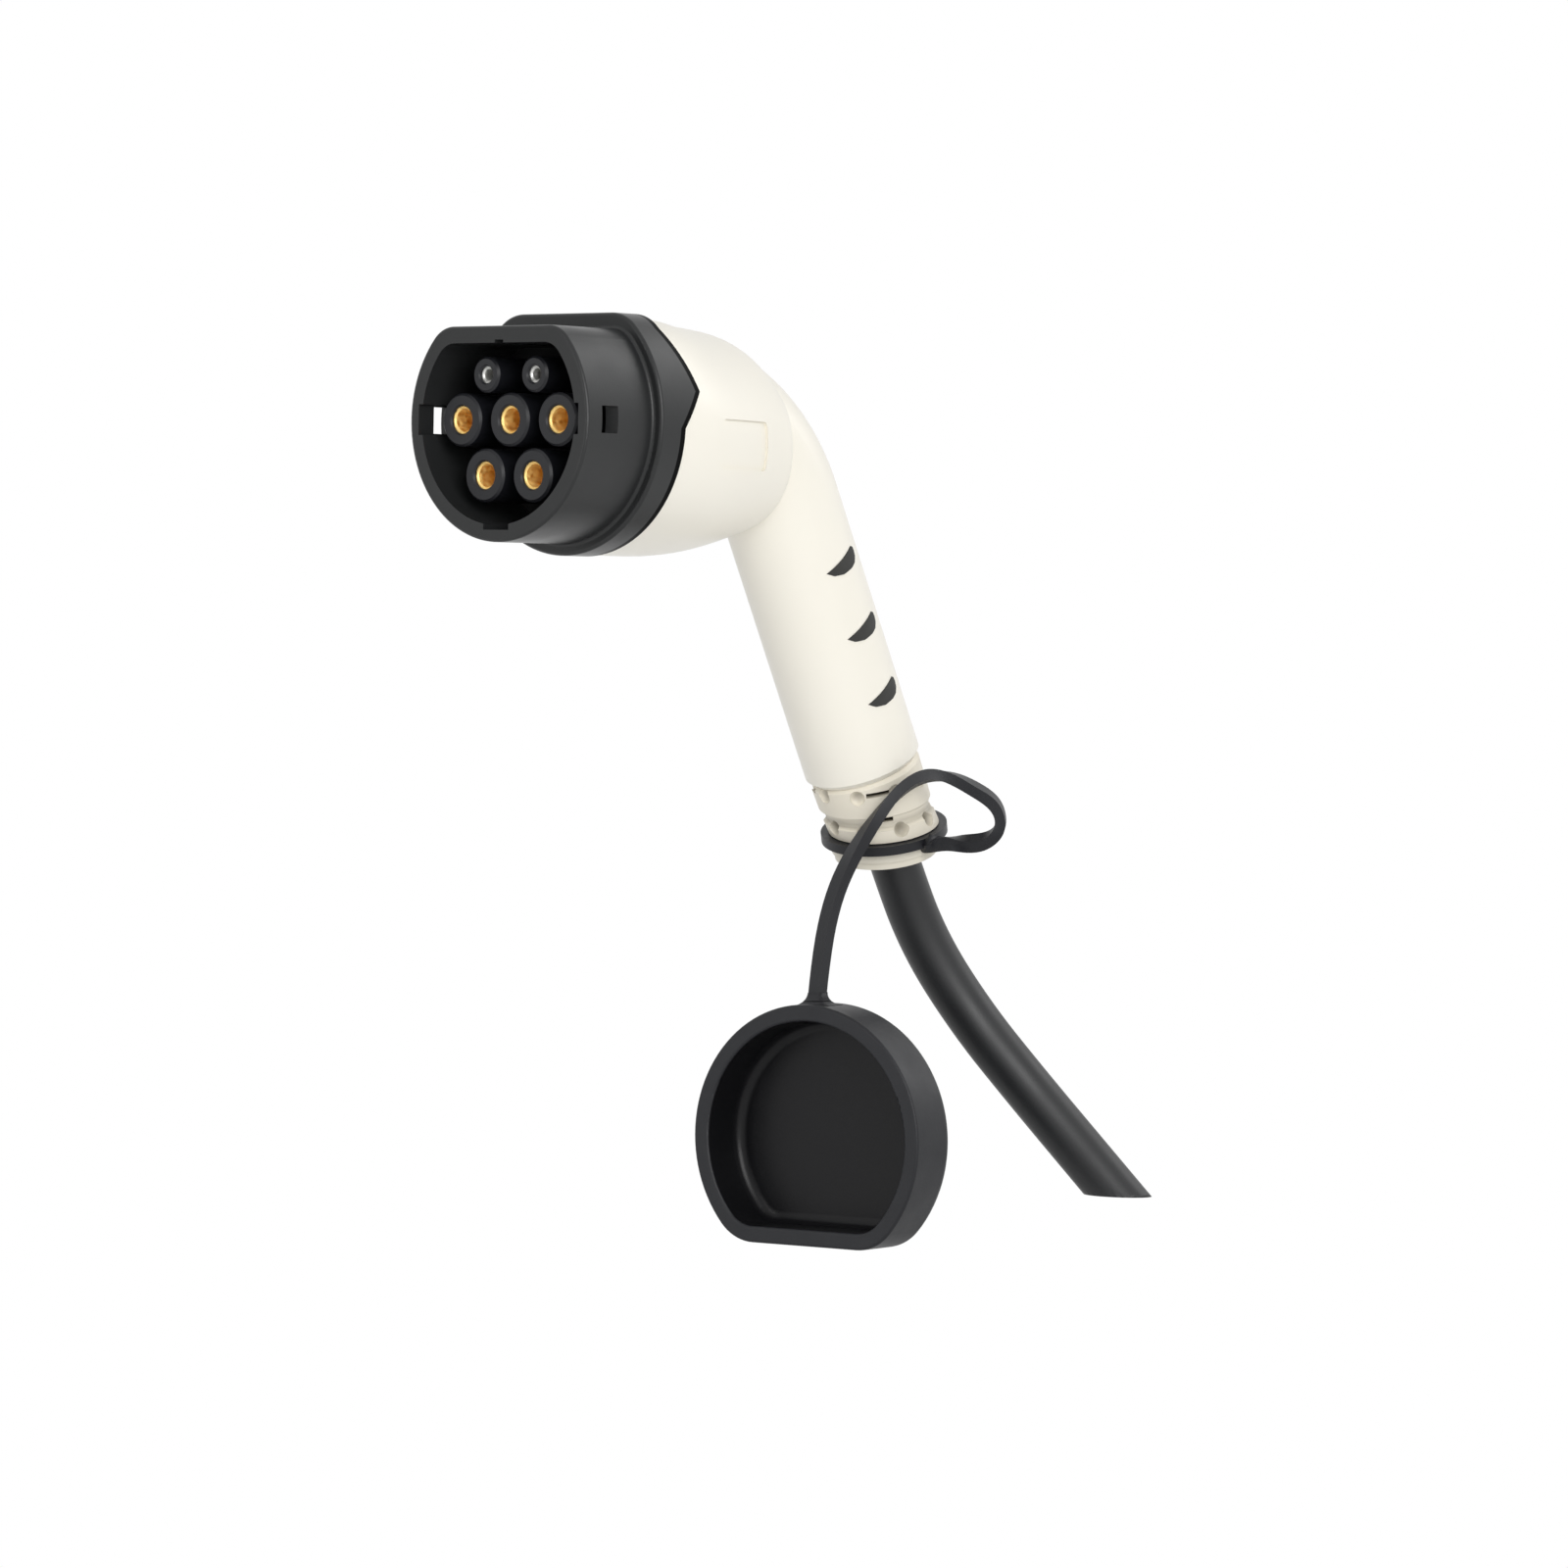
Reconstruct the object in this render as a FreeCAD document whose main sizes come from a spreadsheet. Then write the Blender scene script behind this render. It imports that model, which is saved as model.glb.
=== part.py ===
import FreeCAD, Part
import math
import os

import Sketcher

# Tethered charging connector, seven-pole pattern, with its cap, strain relief and cable end.
# Origin: centre of the mating face, on the axis of the middle contact. +X runs back into the
# connector, +Z is up, and the nose, head and handle are symmetric about the plane Y = 0.

os.makedirs("parts", exist_ok=True)
doc = FreeCAD.newDocument("ChargingConnector")
sheet = doc.addObject("Spreadsheet::Sheet", "Sizes")

SIZES = [
    # Nose shroud
    ("nose_radius", 31.75),
    ("nose_flat", 24.1),
    ("nose_corner", 9.0),
    ("nose_wall", 4.4),
    ("nose_rim_round", 0.9),
    ("nose_depth", 27.0),
    ("flange_front", 24.8),
    ("flange_rear", 34.0),
    ("flange_radius", 34.8),
    ("flange_flat", 28.4),
    ("flange_corner", 12.0),
    ("flange_groove", 0.9),
    ("tab_reach", 6.2),
    ("tab_top", 24.5),
    ("tab_peak", 8.3),
    ("tab_foot", -1.5),
    ("tab_under_share", 0.58),
    ("tab_root", 1.0),
    ("tab_gap", 0.15),
    ("spigot_radius", 30.4),
    ("spigot_flat", 24.0),
    ("spigot_corner", 9.5),
    ("spigot_rear", 45.5),
    ("window_front", 5.6),
    ("window_length", 6.0),
    ("window_height", 7.0),
    ("relief_height", 8.0),
    ("relief_depth", 1.2),
    ("key_width", 9.0),
    ("key_depth", 1.2),
    ("key_stop", 1.0),
    ("notch_width", 3.0),
    ("notch_depth", 0.8),
    # Contact layout
    ("side_pitch", 17.1),
    ("lower_pitch", 8.55),
    ("lower_drop", 14.4),
    ("upper_pitch", 8.6),
    ("upper_rise", 11.7),
    # Contact carrier and retainer
    ("carrier_radius", 27.9),
    ("carrier_flat", 20.8),
    ("carrier_corner", 6.5),
    ("carrier_thickness", 14.0),
    ("seat_clearance", 0.1),
    ("sleeve_seat", 2.0),
    ("retainer_thickness", 3.5),
    ("screw_shank", 1.5),
    ("screw_head", 2.8),
    ("screw_head_height", 2.0),
    ("screw_depth", 8.0),
    ("screw_end_gap", 0.5),
    ("screw_crown_low", 0.6),
    ("screw_crown_top", 0.7),
    ("screw_low", 22.5),
    ("screw_side", 19.5),
    ("screw_rise", 11.5),
    # Sleeves and contacts
    ("sleeve_recess", 4.2),
    ("sleeve_lip", 0.8),
    ("sleeve_chamfer", 0.6),
    ("fit_clearance", 0.05),
    ("power_sleeve", 6.95),
    ("power_lip", 3.6),
    ("power_body", 4.0),
    ("power_bore", 3.0),
    ("power_depth", 20.0),
    ("power_collar", 5.2),
    ("power_crimp", 3.6),
    ("power_crimp_length", 11.0),
    ("signal_sleeve", 4.7),
    ("signal_lip", 2.2),
    ("signal_body", 2.6),
    ("signal_bore", 1.5),
    ("signal_depth", 18.0),
    ("signal_collar", 3.4),
    ("signal_crimp", 1.8),
    ("signal_crimp_length", 8.0),
    ("collar_thickness", 2.0),
    ("crimp_depth", 7.0),
    ("lip_gap", 0.1),
    ("contact_tail", 4.0),
    ("mouth_chamfer", 0.4),
    # Seals
    ("front_seal_from", 41.4),
    ("front_seal_width", 2.2),
    ("front_seal_depth", 1.4),
    # Handle housing
    ("wall", 3.0),
    ("handle_tilt", 27.3),
    ("handle_radius", 16.25),
    ("handle_cross", 100.5),
    ("bend_radius", 50.0),
    ("bend_centre_height", -41.6),
    ("handle_length", 80.6),
    ("foot_chamfer", 1.8),
    ("head_end_round", 5.0),
    ("cavity_end", 6.0),
    ("cavity_overlap", 0.5),
    ("recess_length", 25.0),
    ("recess_height", 13.0),
    ("recess_corner", 1.5),
    ("recess_centre", 64.6),
    ("recess_level", -4.8),
    ("recess_depth", 0.8),
    # Grip inserts
    ("grip_first", 22.6),
    ("grip_pitch", 19.8),
    ("grip_length", 12.6),
    ("grip_height", 5.4),
    ("grip_depth", 1.9),
    ("grip_proud", 0.25),
    # Strain relief neck and gland
    ("neck_bend", 11.8),
    ("neck_bend_way", -32.9),
    ("neck_bore_inset", 4.05),
    ("neck_plug", 10.0),
    ("neck_top_inset", 1.65),
    ("neck_band_inset", 0.75),
    ("neck_waist_inset", 2.0),
    ("neck_lip_inset", 0.95),
    ("groove_inset", 2.25),
    ("neck_edge", 0.5),
    ("lean_at_top", 0.1),
    ("lean_at_band", 0.9),
    ("band_low", 11.0),
    ("waist_high", 13.0),
    ("waist_low", 14.0),
    ("lip_high", 14.8),
    ("dimple_count", 9),
    ("dimple_radius", 2.3),
    ("dimple_depth", 1.6),
    ("slit_count", 4),
    ("slit_width", 6.6),
    ("slit_height", 1.4),
    ("ring_level", 20.1),
    ("ring_thickness", 2.6),
    ("ring_side_gap", 0.3),
    ("ring_bore_gap", 0.3),
    ("ring_width", 3.2),
    ("gland_inset", 1.35),
    ("gland_step_inset", 2.05),
    ("gland_band", 2.7),
    ("gland_length", 4.75),
    ("gland_plug_top", 14.6),
    ("gland_bore_inset", 6.05),
    ("exit_clearance", 0.6),
    # Clamp
    ("clamp_inset", 4.25),
    ("clamp_top", 3.0),
    ("clamp_height", 9.0),
    ("clamp_split", 0.5),
    ("clamp_screw_inset", 2.4),
    ("clamp_screw_radius", 1.2),
    ("clamp_screw_length", 9.0),
    ("clamp_screw_clearance", 0.05),
    # Cable and cores
    ("cable_radius", 7.0),
    ("cable_top", 6.0),
    ("cable_drop", 117.11),
    ("core_radius", 2.0),
    ("pilot_radius", 1.0),
    ("core_ring", 4.5),
    ("core_ring_low", 3.9),
    ("core_spread_end", 66.0),
    ("core_bend_one", 92.0),
    ("core_drop_one", -3.5),
    ("core_bend_share", 0.25),
    ("core_bend_two", 4.0),
    ("core_bend_radius", 30.0),
    ("resistor_radius", 1.3),
    ("resistor_length", 5.0),
    ("resistor_lead", 0.4),
    ("resistor_behind", 5.5),
    ("resistor_from", 5.6),
    ("resistor_to", 12.7),
    # Cap and strap
    ("cap_clearance", 0.25),
    ("cap_wall", 4.55),
    ("cap_depth", 17.0),
    ("cap_floor", 2.4),
    ("cap_back_round", 3.0),
    ("cap_floor_round", 3.0),
    ("cap_rim_round", 0.8),
    ("cap_roll", -0.3),
    ("cap_yaw", 7.1),
    ("cap_forward", 43.68),
    ("cap_aside", 11.17),
    ("cap_below", 82.7),
    ("strap_width", 5.3),
    ("strap_leaves_at", -96.0),
    ("strap_straight", 4.0),
    ("strap_thickness", 3.0),
]


class Length:
    """A number together with the sheet formula that gives it."""

    def __init__(self, value, formula):
        self.value = value
        self.formula = formula

    def joined(self, other, sign, value):
        formula = other.formula if isinstance(other, Length) else repr(float(other))
        return Length(value, f"({self.formula} {sign} {formula})")

    def __add__(self, other):
        return self.joined(other, "+", self.value + number(other))

    def __sub__(self, other):
        return self.joined(other, "-", self.value - number(other))

    def __mul__(self, other):
        return self.joined(other, "*", self.value * number(other))

    def __truediv__(self, other):
        return self.joined(other, "/", self.value / number(other))

    def __neg__(self):
        return Length(-self.value, f"(0 - {self.formula})")


def number(size):
    return size.value if isinstance(size, Length) else float(size)


def formula(size):
    return size.formula if isinstance(size, Length) else repr(float(size))


def cosine(angle):
    return Length(math.cos(math.radians(angle.value)), f"cos({angle.formula} * 1deg)")


def sine(angle):
    return Length(math.sin(math.radians(angle.value)), f"sin({angle.formula} * 1deg)")


named = {}
for row, (alias, value) in enumerate(SIZES, start=1):
    sheet.set(f"A{row}", alias)
    sheet.set(f"B{row}", repr(value))
    sheet.setAlias(f"B{row}", alias)
    named[alias] = Length(value, f"Sizes.{alias}")
doc.recompute()


def size(alias):
    return named[alias]


ZERO = Length(0.0, "0")
ORIGIN = FreeCAD.Vector(0, 0, 0)
UP = FreeCAD.Vector(0, 0, 1)
subparts = []


# Shared steps of the bodies

def new_body(label, subpart=True):
    body = doc.addObject("PartDesign::Body", label)
    body.Label = label
    if subpart:
        subparts.append(body)
    return body


def place(item, x, y, z):
    """Binds where an item stands."""
    base = FreeCAD.Vector(number(x), number(y), number(z))
    item.Placement = FreeCAD.Placement(base, item.Placement.Rotation)
    for axis, value in zip("xyz", (x, y, z)):
        item.setExpression(f"Placement.Base.{axis}", formula(value))


def new_sketch(body, name, role, x=ZERO, y=ZERO, z=ZERO, turn=None, angle=None):
    """A sketch on an origin plane of its own body, moved by x, y, z and turned by angle about turn."""
    sketch = body.newObject("Sketcher::SketchObject", name)
    plane = [item for item in body.Origin.OriginFeatures if item.Role == role][0]
    sketch.AttachmentSupport = [(plane, "")]
    sketch.MapMode = "FlatFace"
    rotation = FreeCAD.Rotation()
    if turn is not None:
        rotation = FreeCAD.Rotation(turn, number(angle))
    base = FreeCAD.Vector(number(x), number(y), number(z))
    sketch.AttachmentOffset = FreeCAD.Placement(base, rotation)
    for axis, value in zip("xyz", (x, y, z)):
        sketch.setExpression(f"AttachmentOffset.Base.{axis}", formula(value))
    if turn is not None:
        sketch.setExpression("AttachmentOffset.Rotation.Angle", formula(angle))
    return sketch


def hold(sketch, kind, *where, size=None):
    """Adds a constraint and, when it has a size, binds it to the sheet."""
    if size is None:
        return sketch.addConstraint(Sketcher.Constraint(kind, *where))
    index = sketch.addConstraint(Sketcher.Constraint(kind, *where, abs(number(size))))
    sketch.setExpression(f"Constraints[{index}]", formula(size) if number(size) >= 0 else formula(-size))
    return index


def add_circle(sketch, radius, x=ZERO, y=ZERO):
    """A circle held by its radius and the place of its centre."""
    centre = FreeCAD.Vector(number(x), number(y), 0)
    index = sketch.addGeometry(Part.Circle(centre, UP, number(radius)), False)
    hold(sketch, "Radius", index, size=radius)
    for kind, value in (("DistanceX", x), ("DistanceY", y)):
        if abs(number(value)) < 1e-9:
            hold(sketch, "PointOnObject", index, 3, -2 if kind == "DistanceX" else -1)
        elif number(value) > 0:
            hold(sketch, kind, -1, 1, index, 3, size=value)
        else:
            hold(sketch, kind, index, 3, -1, 1, size=value)
    return index


def add_polygon(sketch, points):
    """Straight edges through points, closed, each corner held where the sizes put it."""
    corners = [FreeCAD.Vector(number(x), number(y), 0) for x, y in points]
    first = sketch.GeometryCount
    for index, corner in enumerate(corners):
        following = corners[(index + 1) % len(corners)]
        sketch.addGeometry(Part.LineSegment(corner, following), False)
    for index in range(len(corners)):
        hold(sketch, "Coincident", first + index, 2, first + (index + 1) % len(corners), 1)
    for index, (x, y) in enumerate(points):
        for kind, value in (("DistanceX", x), ("DistanceY", y)):
            if abs(number(value)) < 1e-9:
                hold(sketch, "PointOnObject", first + index, 1, -2 if kind == "DistanceX" else -1)
            elif number(value) > 0:
                hold(sketch, kind, -1, 1, first + index, 1, size=value)
            else:
                hold(sketch, kind, first + index, 1, -1, 1, size=value)
    return first


def add_box(sketch, width, height, x=ZERO, y=ZERO):
    """A rectangle of that width and height about a centre."""
    left, right = x - width / 2, x + width / 2
    low, high = y - height / 2, y + height / 2
    return add_polygon(sketch, [(left, low), (right, low), (right, high), (left, high)])


def add_d_outline(sketch, radius, flat, corner):
    """The mating outline: a circle with its top cut flat and the two corners rounded."""
    big, top, small = number(radius), number(flat), number(corner)
    corner_y = top - small
    corner_x = math.sqrt((big - small) ** 2 - corner_y ** 2)
    meet = math.atan2(corner_y, corner_x)
    first = sketch.GeometryCount
    round_centre = FreeCAD.Vector(corner_x, corner_y, 0)
    mirror_centre = FreeCAD.Vector(-corner_x, corner_y, 0)
    main = Part.ArcOfCircle(Part.Circle(ORIGIN, UP, big), math.pi - meet, 2 * math.pi + meet)
    right = Part.ArcOfCircle(Part.Circle(round_centre, UP, small), meet, math.pi / 2)
    edge = Part.LineSegment(FreeCAD.Vector(corner_x, top, 0), FreeCAD.Vector(-corner_x, top, 0))
    left = Part.ArcOfCircle(Part.Circle(mirror_centre, UP, small), math.pi / 2, math.pi - meet)
    for piece in (main, right, edge, left):
        sketch.addGeometry(piece, False)
    hold(sketch, "Coincident", first, 3, -1, 1)
    hold(sketch, "Tangent", first, 2, first + 1, 1)
    hold(sketch, "Tangent", first + 1, 2, first + 2, 1)
    hold(sketch, "Tangent", first + 2, 2, first + 3, 1)
    hold(sketch, "Tangent", first + 3, 2, first, 1)
    hold(sketch, "Horizontal", first + 2)
    hold(sketch, "Radius", first, size=radius)
    hold(sketch, "Radius", first + 1, size=corner)
    hold(sketch, "Distance", -1, 1, first + 2, size=flat)
    return first


def bind(feature, **sizes):
    for name, value in sizes.items():
        setattr(feature, name, number(value))
        feature.setExpression(name, formula(value))


def add_pad(body, name, sketch, length, back=False, both=False):
    pad = body.newObject("PartDesign::Pad", name)
    pad.Profile = sketch
    pad.Reversed = back
    pad.Midplane = both
    bind(pad, Length=length)
    sketch.Visibility = False
    doc.recompute()
    return pad


def cut_away(body, feature, before):
    """A cut has to take material: its direction is proved by the volume."""
    doc.recompute()
    if feature.Shape.Volume > before - 1e-6:
        raise RuntimeError(f"{body.Label}: {feature.Label} takes nothing away")
    return feature


def add_pocket(body, name, sketch, length, outward=True, both=False):
    """A pocket along the sketch's own normal when outward, against it otherwise."""
    doc.recompute()
    before = body.Shape.Volume
    pocket = body.newObject("PartDesign::Pocket", name)
    pocket.Profile = sketch
    pocket.Reversed = outward
    pocket.Midplane = both
    bind(pocket, Length=length)
    return cut_away(body, pocket, before)


def add_turned(body, name, sketch, axis):
    turned = body.newObject("PartDesign::Revolution", name)
    turned.Profile = sketch
    turned.ReferenceAxis = (sketch, [axis])
    turned.Angle = 360
    doc.recompute()
    return turned


def edges_at(shape, test):
    return [f"Edge{index}" for index, edge in enumerate(shape.Edges, start=1) if test(edge)]


SAME_PLACE = 1e-3


def flat_at(edge, axis, value):
    """True for an edge that lies whole in the plane axis = value."""
    box = edge.BoundBox
    low, high = getattr(box, axis + "Min"), getattr(box, axis + "Max")
    return abs(low - value) < SAME_PLACE and abs(high - value) < SAME_PLACE


def add_fillet(body, name, base, edges, radius):
    fillet = body.newObject("PartDesign::Fillet", name)
    fillet.Base = (base, edges)
    bind(fillet, Radius=radius)
    doc.recompute()
    return fillet


# Contact layout, as (name, y, z, core position y, core position up)

CONTACTS = [
    ("pe", ZERO, ZERO, ZERO, ZERO),
    ("n", size("side_pitch"), ZERO, size("core_ring"), ZERO),
    ("l1", -size("side_pitch"), ZERO, -size("core_ring"), ZERO),
    ("l3", size("lower_pitch"), -size("lower_drop"), size("core_ring") / 2, -size("core_ring_low")),
    ("l2", -size("lower_pitch"), -size("lower_drop"), -size("core_ring") / 2, -size("core_ring_low")),
    ("cp", -size("upper_pitch"), size("upper_rise"), -size("core_ring") / 2, size("core_ring_low")),
    ("pp", size("upper_pitch"), size("upper_rise"), None, None),
]
SIGNALS = ("cp", "pp")
carrier_front = size("nose_depth")
carrier_rear = carrier_front + size("carrier_thickness")
retainer_rear = carrier_rear + size("retainer_thickness")


def kind_of(name):
    return "signal" if name in SIGNALS else "power"


# Nose shroud: the black moulding that enters the vehicle inlet, with the flange band behind it
# and the spigot that plugs into the handle housing

past_nose = size("flange_radius") * 3
shroud = new_body("nose_shroud")
outline = new_sketch(shroud, "NoseOutline", "YZ_Plane")
add_d_outline(outline, size("nose_radius"), size("nose_flat"), size("nose_corner"))
add_pad(shroud, "Nose", outline, size("flange_rear"))
outline = new_sketch(shroud, "FlangeOutline", "YZ_Plane", z=size("flange_front"))
add_d_outline(outline, size("flange_radius"), size("flange_flat"), size("flange_corner"))
add_pad(shroud, "Flange", outline, size("flange_rear") - size("flange_front"))
outline = new_sketch(shroud, "SpigotOutline", "YZ_Plane", z=size("flange_rear"))
add_d_outline(outline, size("spigot_radius"), size("spigot_flat"), size("spigot_corner"))
add_pad(shroud, "Spigot", outline, size("spigot_rear") - size("flange_rear"))

tab_lines = [
    (size("flange_rear") - size("tab_root"), size("tab_top")),
    (size("flange_rear"), size("tab_top")),
    (size("flange_rear") + size("tab_reach"), size("tab_peak")),
    (size("flange_rear") + size("tab_reach") * size("tab_under_share"), size("tab_peak") / 2),
    (size("flange_rear"), size("tab_foot")),
    (size("flange_rear") - size("tab_root"), size("tab_foot")),
]


def tab_outline(sketch, gap):
    """The pointed tab on each side, seen from the side and grown by a gap at its edges."""
    lines = list(tab_lines)
    lines[1] = (lines[1][0] + gap, lines[1][1] + gap)
    lines[2] = (lines[2][0] + gap, lines[2][1] + gap)
    lines[3] = (lines[3][0] + gap, lines[3][1] - gap)
    lines[4] = (lines[4][0] + gap, lines[4][1] - gap)
    return add_polygon(sketch, lines)


tabs = new_sketch(shroud, "TabOutline", "XZ_Plane")
tab_outline(tabs, ZERO)
add_pad(shroud, "Tabs", tabs, size("flange_radius") * 2, both=True)
trim = new_sketch(shroud, "TabTrim", "YZ_Plane", z=size("flange_rear") - size("tab_root"))
add_circle(trim, past_nose)
add_d_outline(trim, size("flange_radius"), size("flange_flat"), size("flange_corner"))
add_pocket(shroud, "TrimTabsOutside", trim, size("tab_reach") * 2 + size("tab_root"))

cavity = new_sketch(shroud, "NoseCavity", "YZ_Plane")
inner_radius = size("nose_radius") - size("nose_wall")
inner_flat = size("nose_flat") - size("nose_wall")
add_d_outline(cavity, inner_radius, inner_flat, size("nose_corner") - size("nose_wall") / 2)
add_pocket(shroud, "Cavity", cavity, size("nose_depth"))
seat = new_sketch(shroud, "CarrierSeat", "YZ_Plane", z=size("nose_depth"))
seat_radius = size("carrier_radius") + size("seat_clearance")
seat_flat = size("carrier_flat") + size("seat_clearance")
add_d_outline(seat, seat_radius, seat_flat, size("carrier_corner") + size("seat_clearance"))
add_pocket(shroud, "Seat", seat, size("spigot_rear") - size("nose_depth") + size("tab_reach"))
windows = new_sketch(shroud, "LockWindows", "XZ_Plane")
window_middle = size("window_front") + size("window_length") / 2
add_box(windows, size("window_length"), size("window_height"), window_middle)
add_pocket(shroud, "Windows", windows, past_nose, both=True)
relief = new_sketch(shroud, "LatchRelief", "XZ_Plane")
relief_length = size("window_front") + size("window_length")
add_box(relief, relief_length, size("relief_height"), relief_length / 2)
add_pocket(shroud, "Relief", relief, (inner_radius + size("relief_depth")) * 2, both=True)
key = new_sketch(shroud, "KeyWay", "YZ_Plane")
add_box(key, size("key_width"), size("key_depth") * 2, ZERO, -inner_radius)
add_pocket(shroud, "KeyGroove", key, size("nose_depth") - size("key_stop"))
key = new_sketch(shroud, "TopNotch", "YZ_Plane")
add_box(key, size("notch_width"), size("notch_depth") * 2, ZERO, inner_flat)
add_pocket(shroud, "TopGroove", key, size("nose_depth") - size("key_stop"))
groove = new_sketch(shroud, "SealGroove", "YZ_Plane", z=size("front_seal_from"))
groove_radius = size("spigot_radius") - size("front_seal_depth")
groove_flat = size("spigot_flat") - size("front_seal_depth")
groove_corner = size("spigot_corner") - size("front_seal_depth")
add_circle(groove, past_nose)
add_d_outline(groove, groove_radius, groove_flat, groove_corner)
add_pocket(shroud, "SealChannel", groove, size("front_seal_width"))


def add_edge_rounds():
    """Softens the front rim and fills the corner between nose and flange."""
    rim = edges_at(shroud.Shape, lambda edge: flat_at(edge, "X", 0.0) and outside_nose(edge))
    rounded = add_fillet(shroud, "RimRound", shroud.Tip, rim, size("nose_rim_round"))
    front = number(size("flange_front"))
    root = edges_at(rounded.Shape, lambda edge: flat_at(edge, "X", front) and inside_band(edge))
    add_fillet(shroud, "FlangeRoot", rounded, root, size("flange_groove"))


def outside_nose(edge):
    point = edge.valueAt(edge.FirstParameter)
    reach = math.hypot(point.y, point.z)
    half_wall = number(size("nose_wall")) / 2
    return reach > number(inner_radius) + half_wall or point.z > number(inner_flat) + half_wall


def inside_band(edge):
    point = edge.valueAt((edge.FirstParameter + edge.LastParameter) / 2)
    return math.hypot(point.y, point.z) < number(size("nose_radius")) + SAME_PLACE


add_edge_rounds()


# Front seal: a rubber ring in the channel of the spigot, pressed against the housing

front_seal = new_body("front_seal")
ring = new_sketch(front_seal, "SealOutline", "YZ_Plane", z=size("front_seal_from") + size("fit_clearance"))
gap = size("fit_clearance")
seal_corner = size("spigot_corner") + size("seat_clearance")
add_d_outline(ring, size("spigot_radius") + size("seat_clearance"), size("spigot_flat") + gap, seal_corner)
add_d_outline(ring, groove_radius + gap, groove_flat + gap, groove_corner + gap)
add_pad(front_seal, "Seal", ring, size("front_seal_width") - gap * 2)


# Contact carrier: the black insulating block that holds the contacts and their sleeves

carrier = new_body("contact_carrier")
block = new_sketch(carrier, "CarrierOutline", "YZ_Plane", z=carrier_front)
add_d_outline(block, size("carrier_radius"), size("carrier_flat"), size("carrier_corner"))
add_pad(carrier, "Block", block, size("carrier_thickness"))


def add_contact_holes(body, name, station, depth, power, signal):
    """One row of holes at every contact, power and signal ones each to their own radius."""
    holes = new_sketch(body, name + "Plan", "YZ_Plane", z=station)
    for key, y, z, _, _ in CONTACTS:
        add_circle(holes, signal if key in SIGNALS else power, y, z)
    return add_pocket(body, name, holes, depth)


gap = size("fit_clearance")
add_contact_holes(carrier, "SleeveSeats", carrier_front, size("sleeve_seat"), size("power_sleeve") + gap,
                  size("signal_sleeve") + gap)
power_hole = size("power_body") + gap
signal_hole = size("signal_body") + gap
block_depth = size("carrier_thickness")
add_contact_holes(carrier, "ContactBores", carrier_front, block_depth, power_hole, signal_hole)
collar_depth = size("collar_thickness")
add_contact_holes(carrier, "CollarSeats", carrier_rear - collar_depth, collar_depth,
                  size("power_collar") + gap, size("signal_collar") + gap)
SCREWS = [
    ("lower", ZERO, -size("screw_low")),
    ("right", size("screw_side"), size("screw_rise")),
    ("left", -size("screw_side"), size("screw_rise")),
]
threads = new_sketch(carrier, "ScrewPlan", "YZ_Plane", z=carrier_rear - size("screw_depth"))
for _, y, z in SCREWS:
    add_circle(threads, size("screw_shank"), y, z)
add_pocket(carrier, "ScrewHoles", threads, size("screw_depth"))


# Contact retainer: the plate screwed behind the carrier, which traps the contact collars

retainer = new_body("contact_retainer")
plate = new_sketch(retainer, "RetainerOutline", "YZ_Plane", z=carrier_rear)
add_d_outline(plate, size("carrier_radius"), size("carrier_flat"), size("carrier_corner"))
add_pad(retainer, "Plate", plate, size("retainer_thickness"))
plate_depth = size("retainer_thickness")
add_contact_holes(retainer, "ContactHoles", carrier_rear, plate_depth, power_hole, signal_hole)
threads = new_sketch(retainer, "ScrewPlan", "YZ_Plane", z=carrier_rear)
for _, y, z in SCREWS:
    add_circle(threads, size("screw_shank"), y, z)
add_pocket(retainer, "ScrewHoles", threads, size("retainer_thickness"))


# Turned parts: a profile of (along, radius) points spun about X, or (radius, along) about Z

def turned_along_x(label, profile):
    body = new_body(label)
    sketch = new_sketch(body, "Profile", "XZ_Plane")
    add_polygon(sketch, profile)
    add_turned(body, "Turned", sketch, "H_Axis")
    return body


def turned_along_z(label, profile, subpart=True):
    body = new_body(label, subpart)
    sketch = new_sketch(body, "Profile", "XZ_Plane")
    add_polygon(sketch, profile)
    add_turned(body, "Turned", sketch, "V_Axis")
    return body


# Retainer screws: pan heads against the plate, shanks in the carrier

shank = size("screw_shank") - gap
screw_end = carrier_rear - size("screw_depth") + size("screw_end_gap")
for name, y, z in SCREWS:
    screw = turned_along_x(f"retainer_screw_{name}", [
        (screw_end, ZERO),
        (screw_end, shank),
        (retainer_rear, shank),
        (retainer_rear, size("screw_head")),
        (retainer_rear + size("screw_head_height") * size("screw_crown_low"), size("screw_head")),
        (retainer_rear + size("screw_head_height"), size("screw_head") * size("screw_crown_top")),
        (retainer_rear + size("screw_head_height"), ZERO),
    ])
    place(screw, ZERO, y, z)


# Contact sleeves: touch-proof insulating tubes with an inward lip at the mouth

def make_sleeve(name, y, z, kind):
    outer = size(kind + "_sleeve")
    front = size("sleeve_recess")
    lip_rear = front + size("sleeve_lip")
    bore = size(kind + "_body") + gap
    sleeve = turned_along_x("sleeve_" + name, [
        (front, size(kind + "_lip") + size("mouth_chamfer")),
        (front + size("mouth_chamfer"), size(kind + "_lip")),
        (lip_rear, size(kind + "_lip")),
        (lip_rear, bore),
        (carrier_front + size("sleeve_seat"), bore),
        (carrier_front + size("sleeve_seat"), outer),
        (front + size("sleeve_chamfer"), outer),
        (front, outer - size("sleeve_chamfer")),
    ])
    place(sleeve, ZERO, y, z)


# Contact sockets: turned brass, bored at the front for the pin and at the back for the core

contact_front = size("sleeve_recess") + size("sleeve_lip") + size("lip_gap")
crimp_front = carrier_rear + size("contact_tail")


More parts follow.
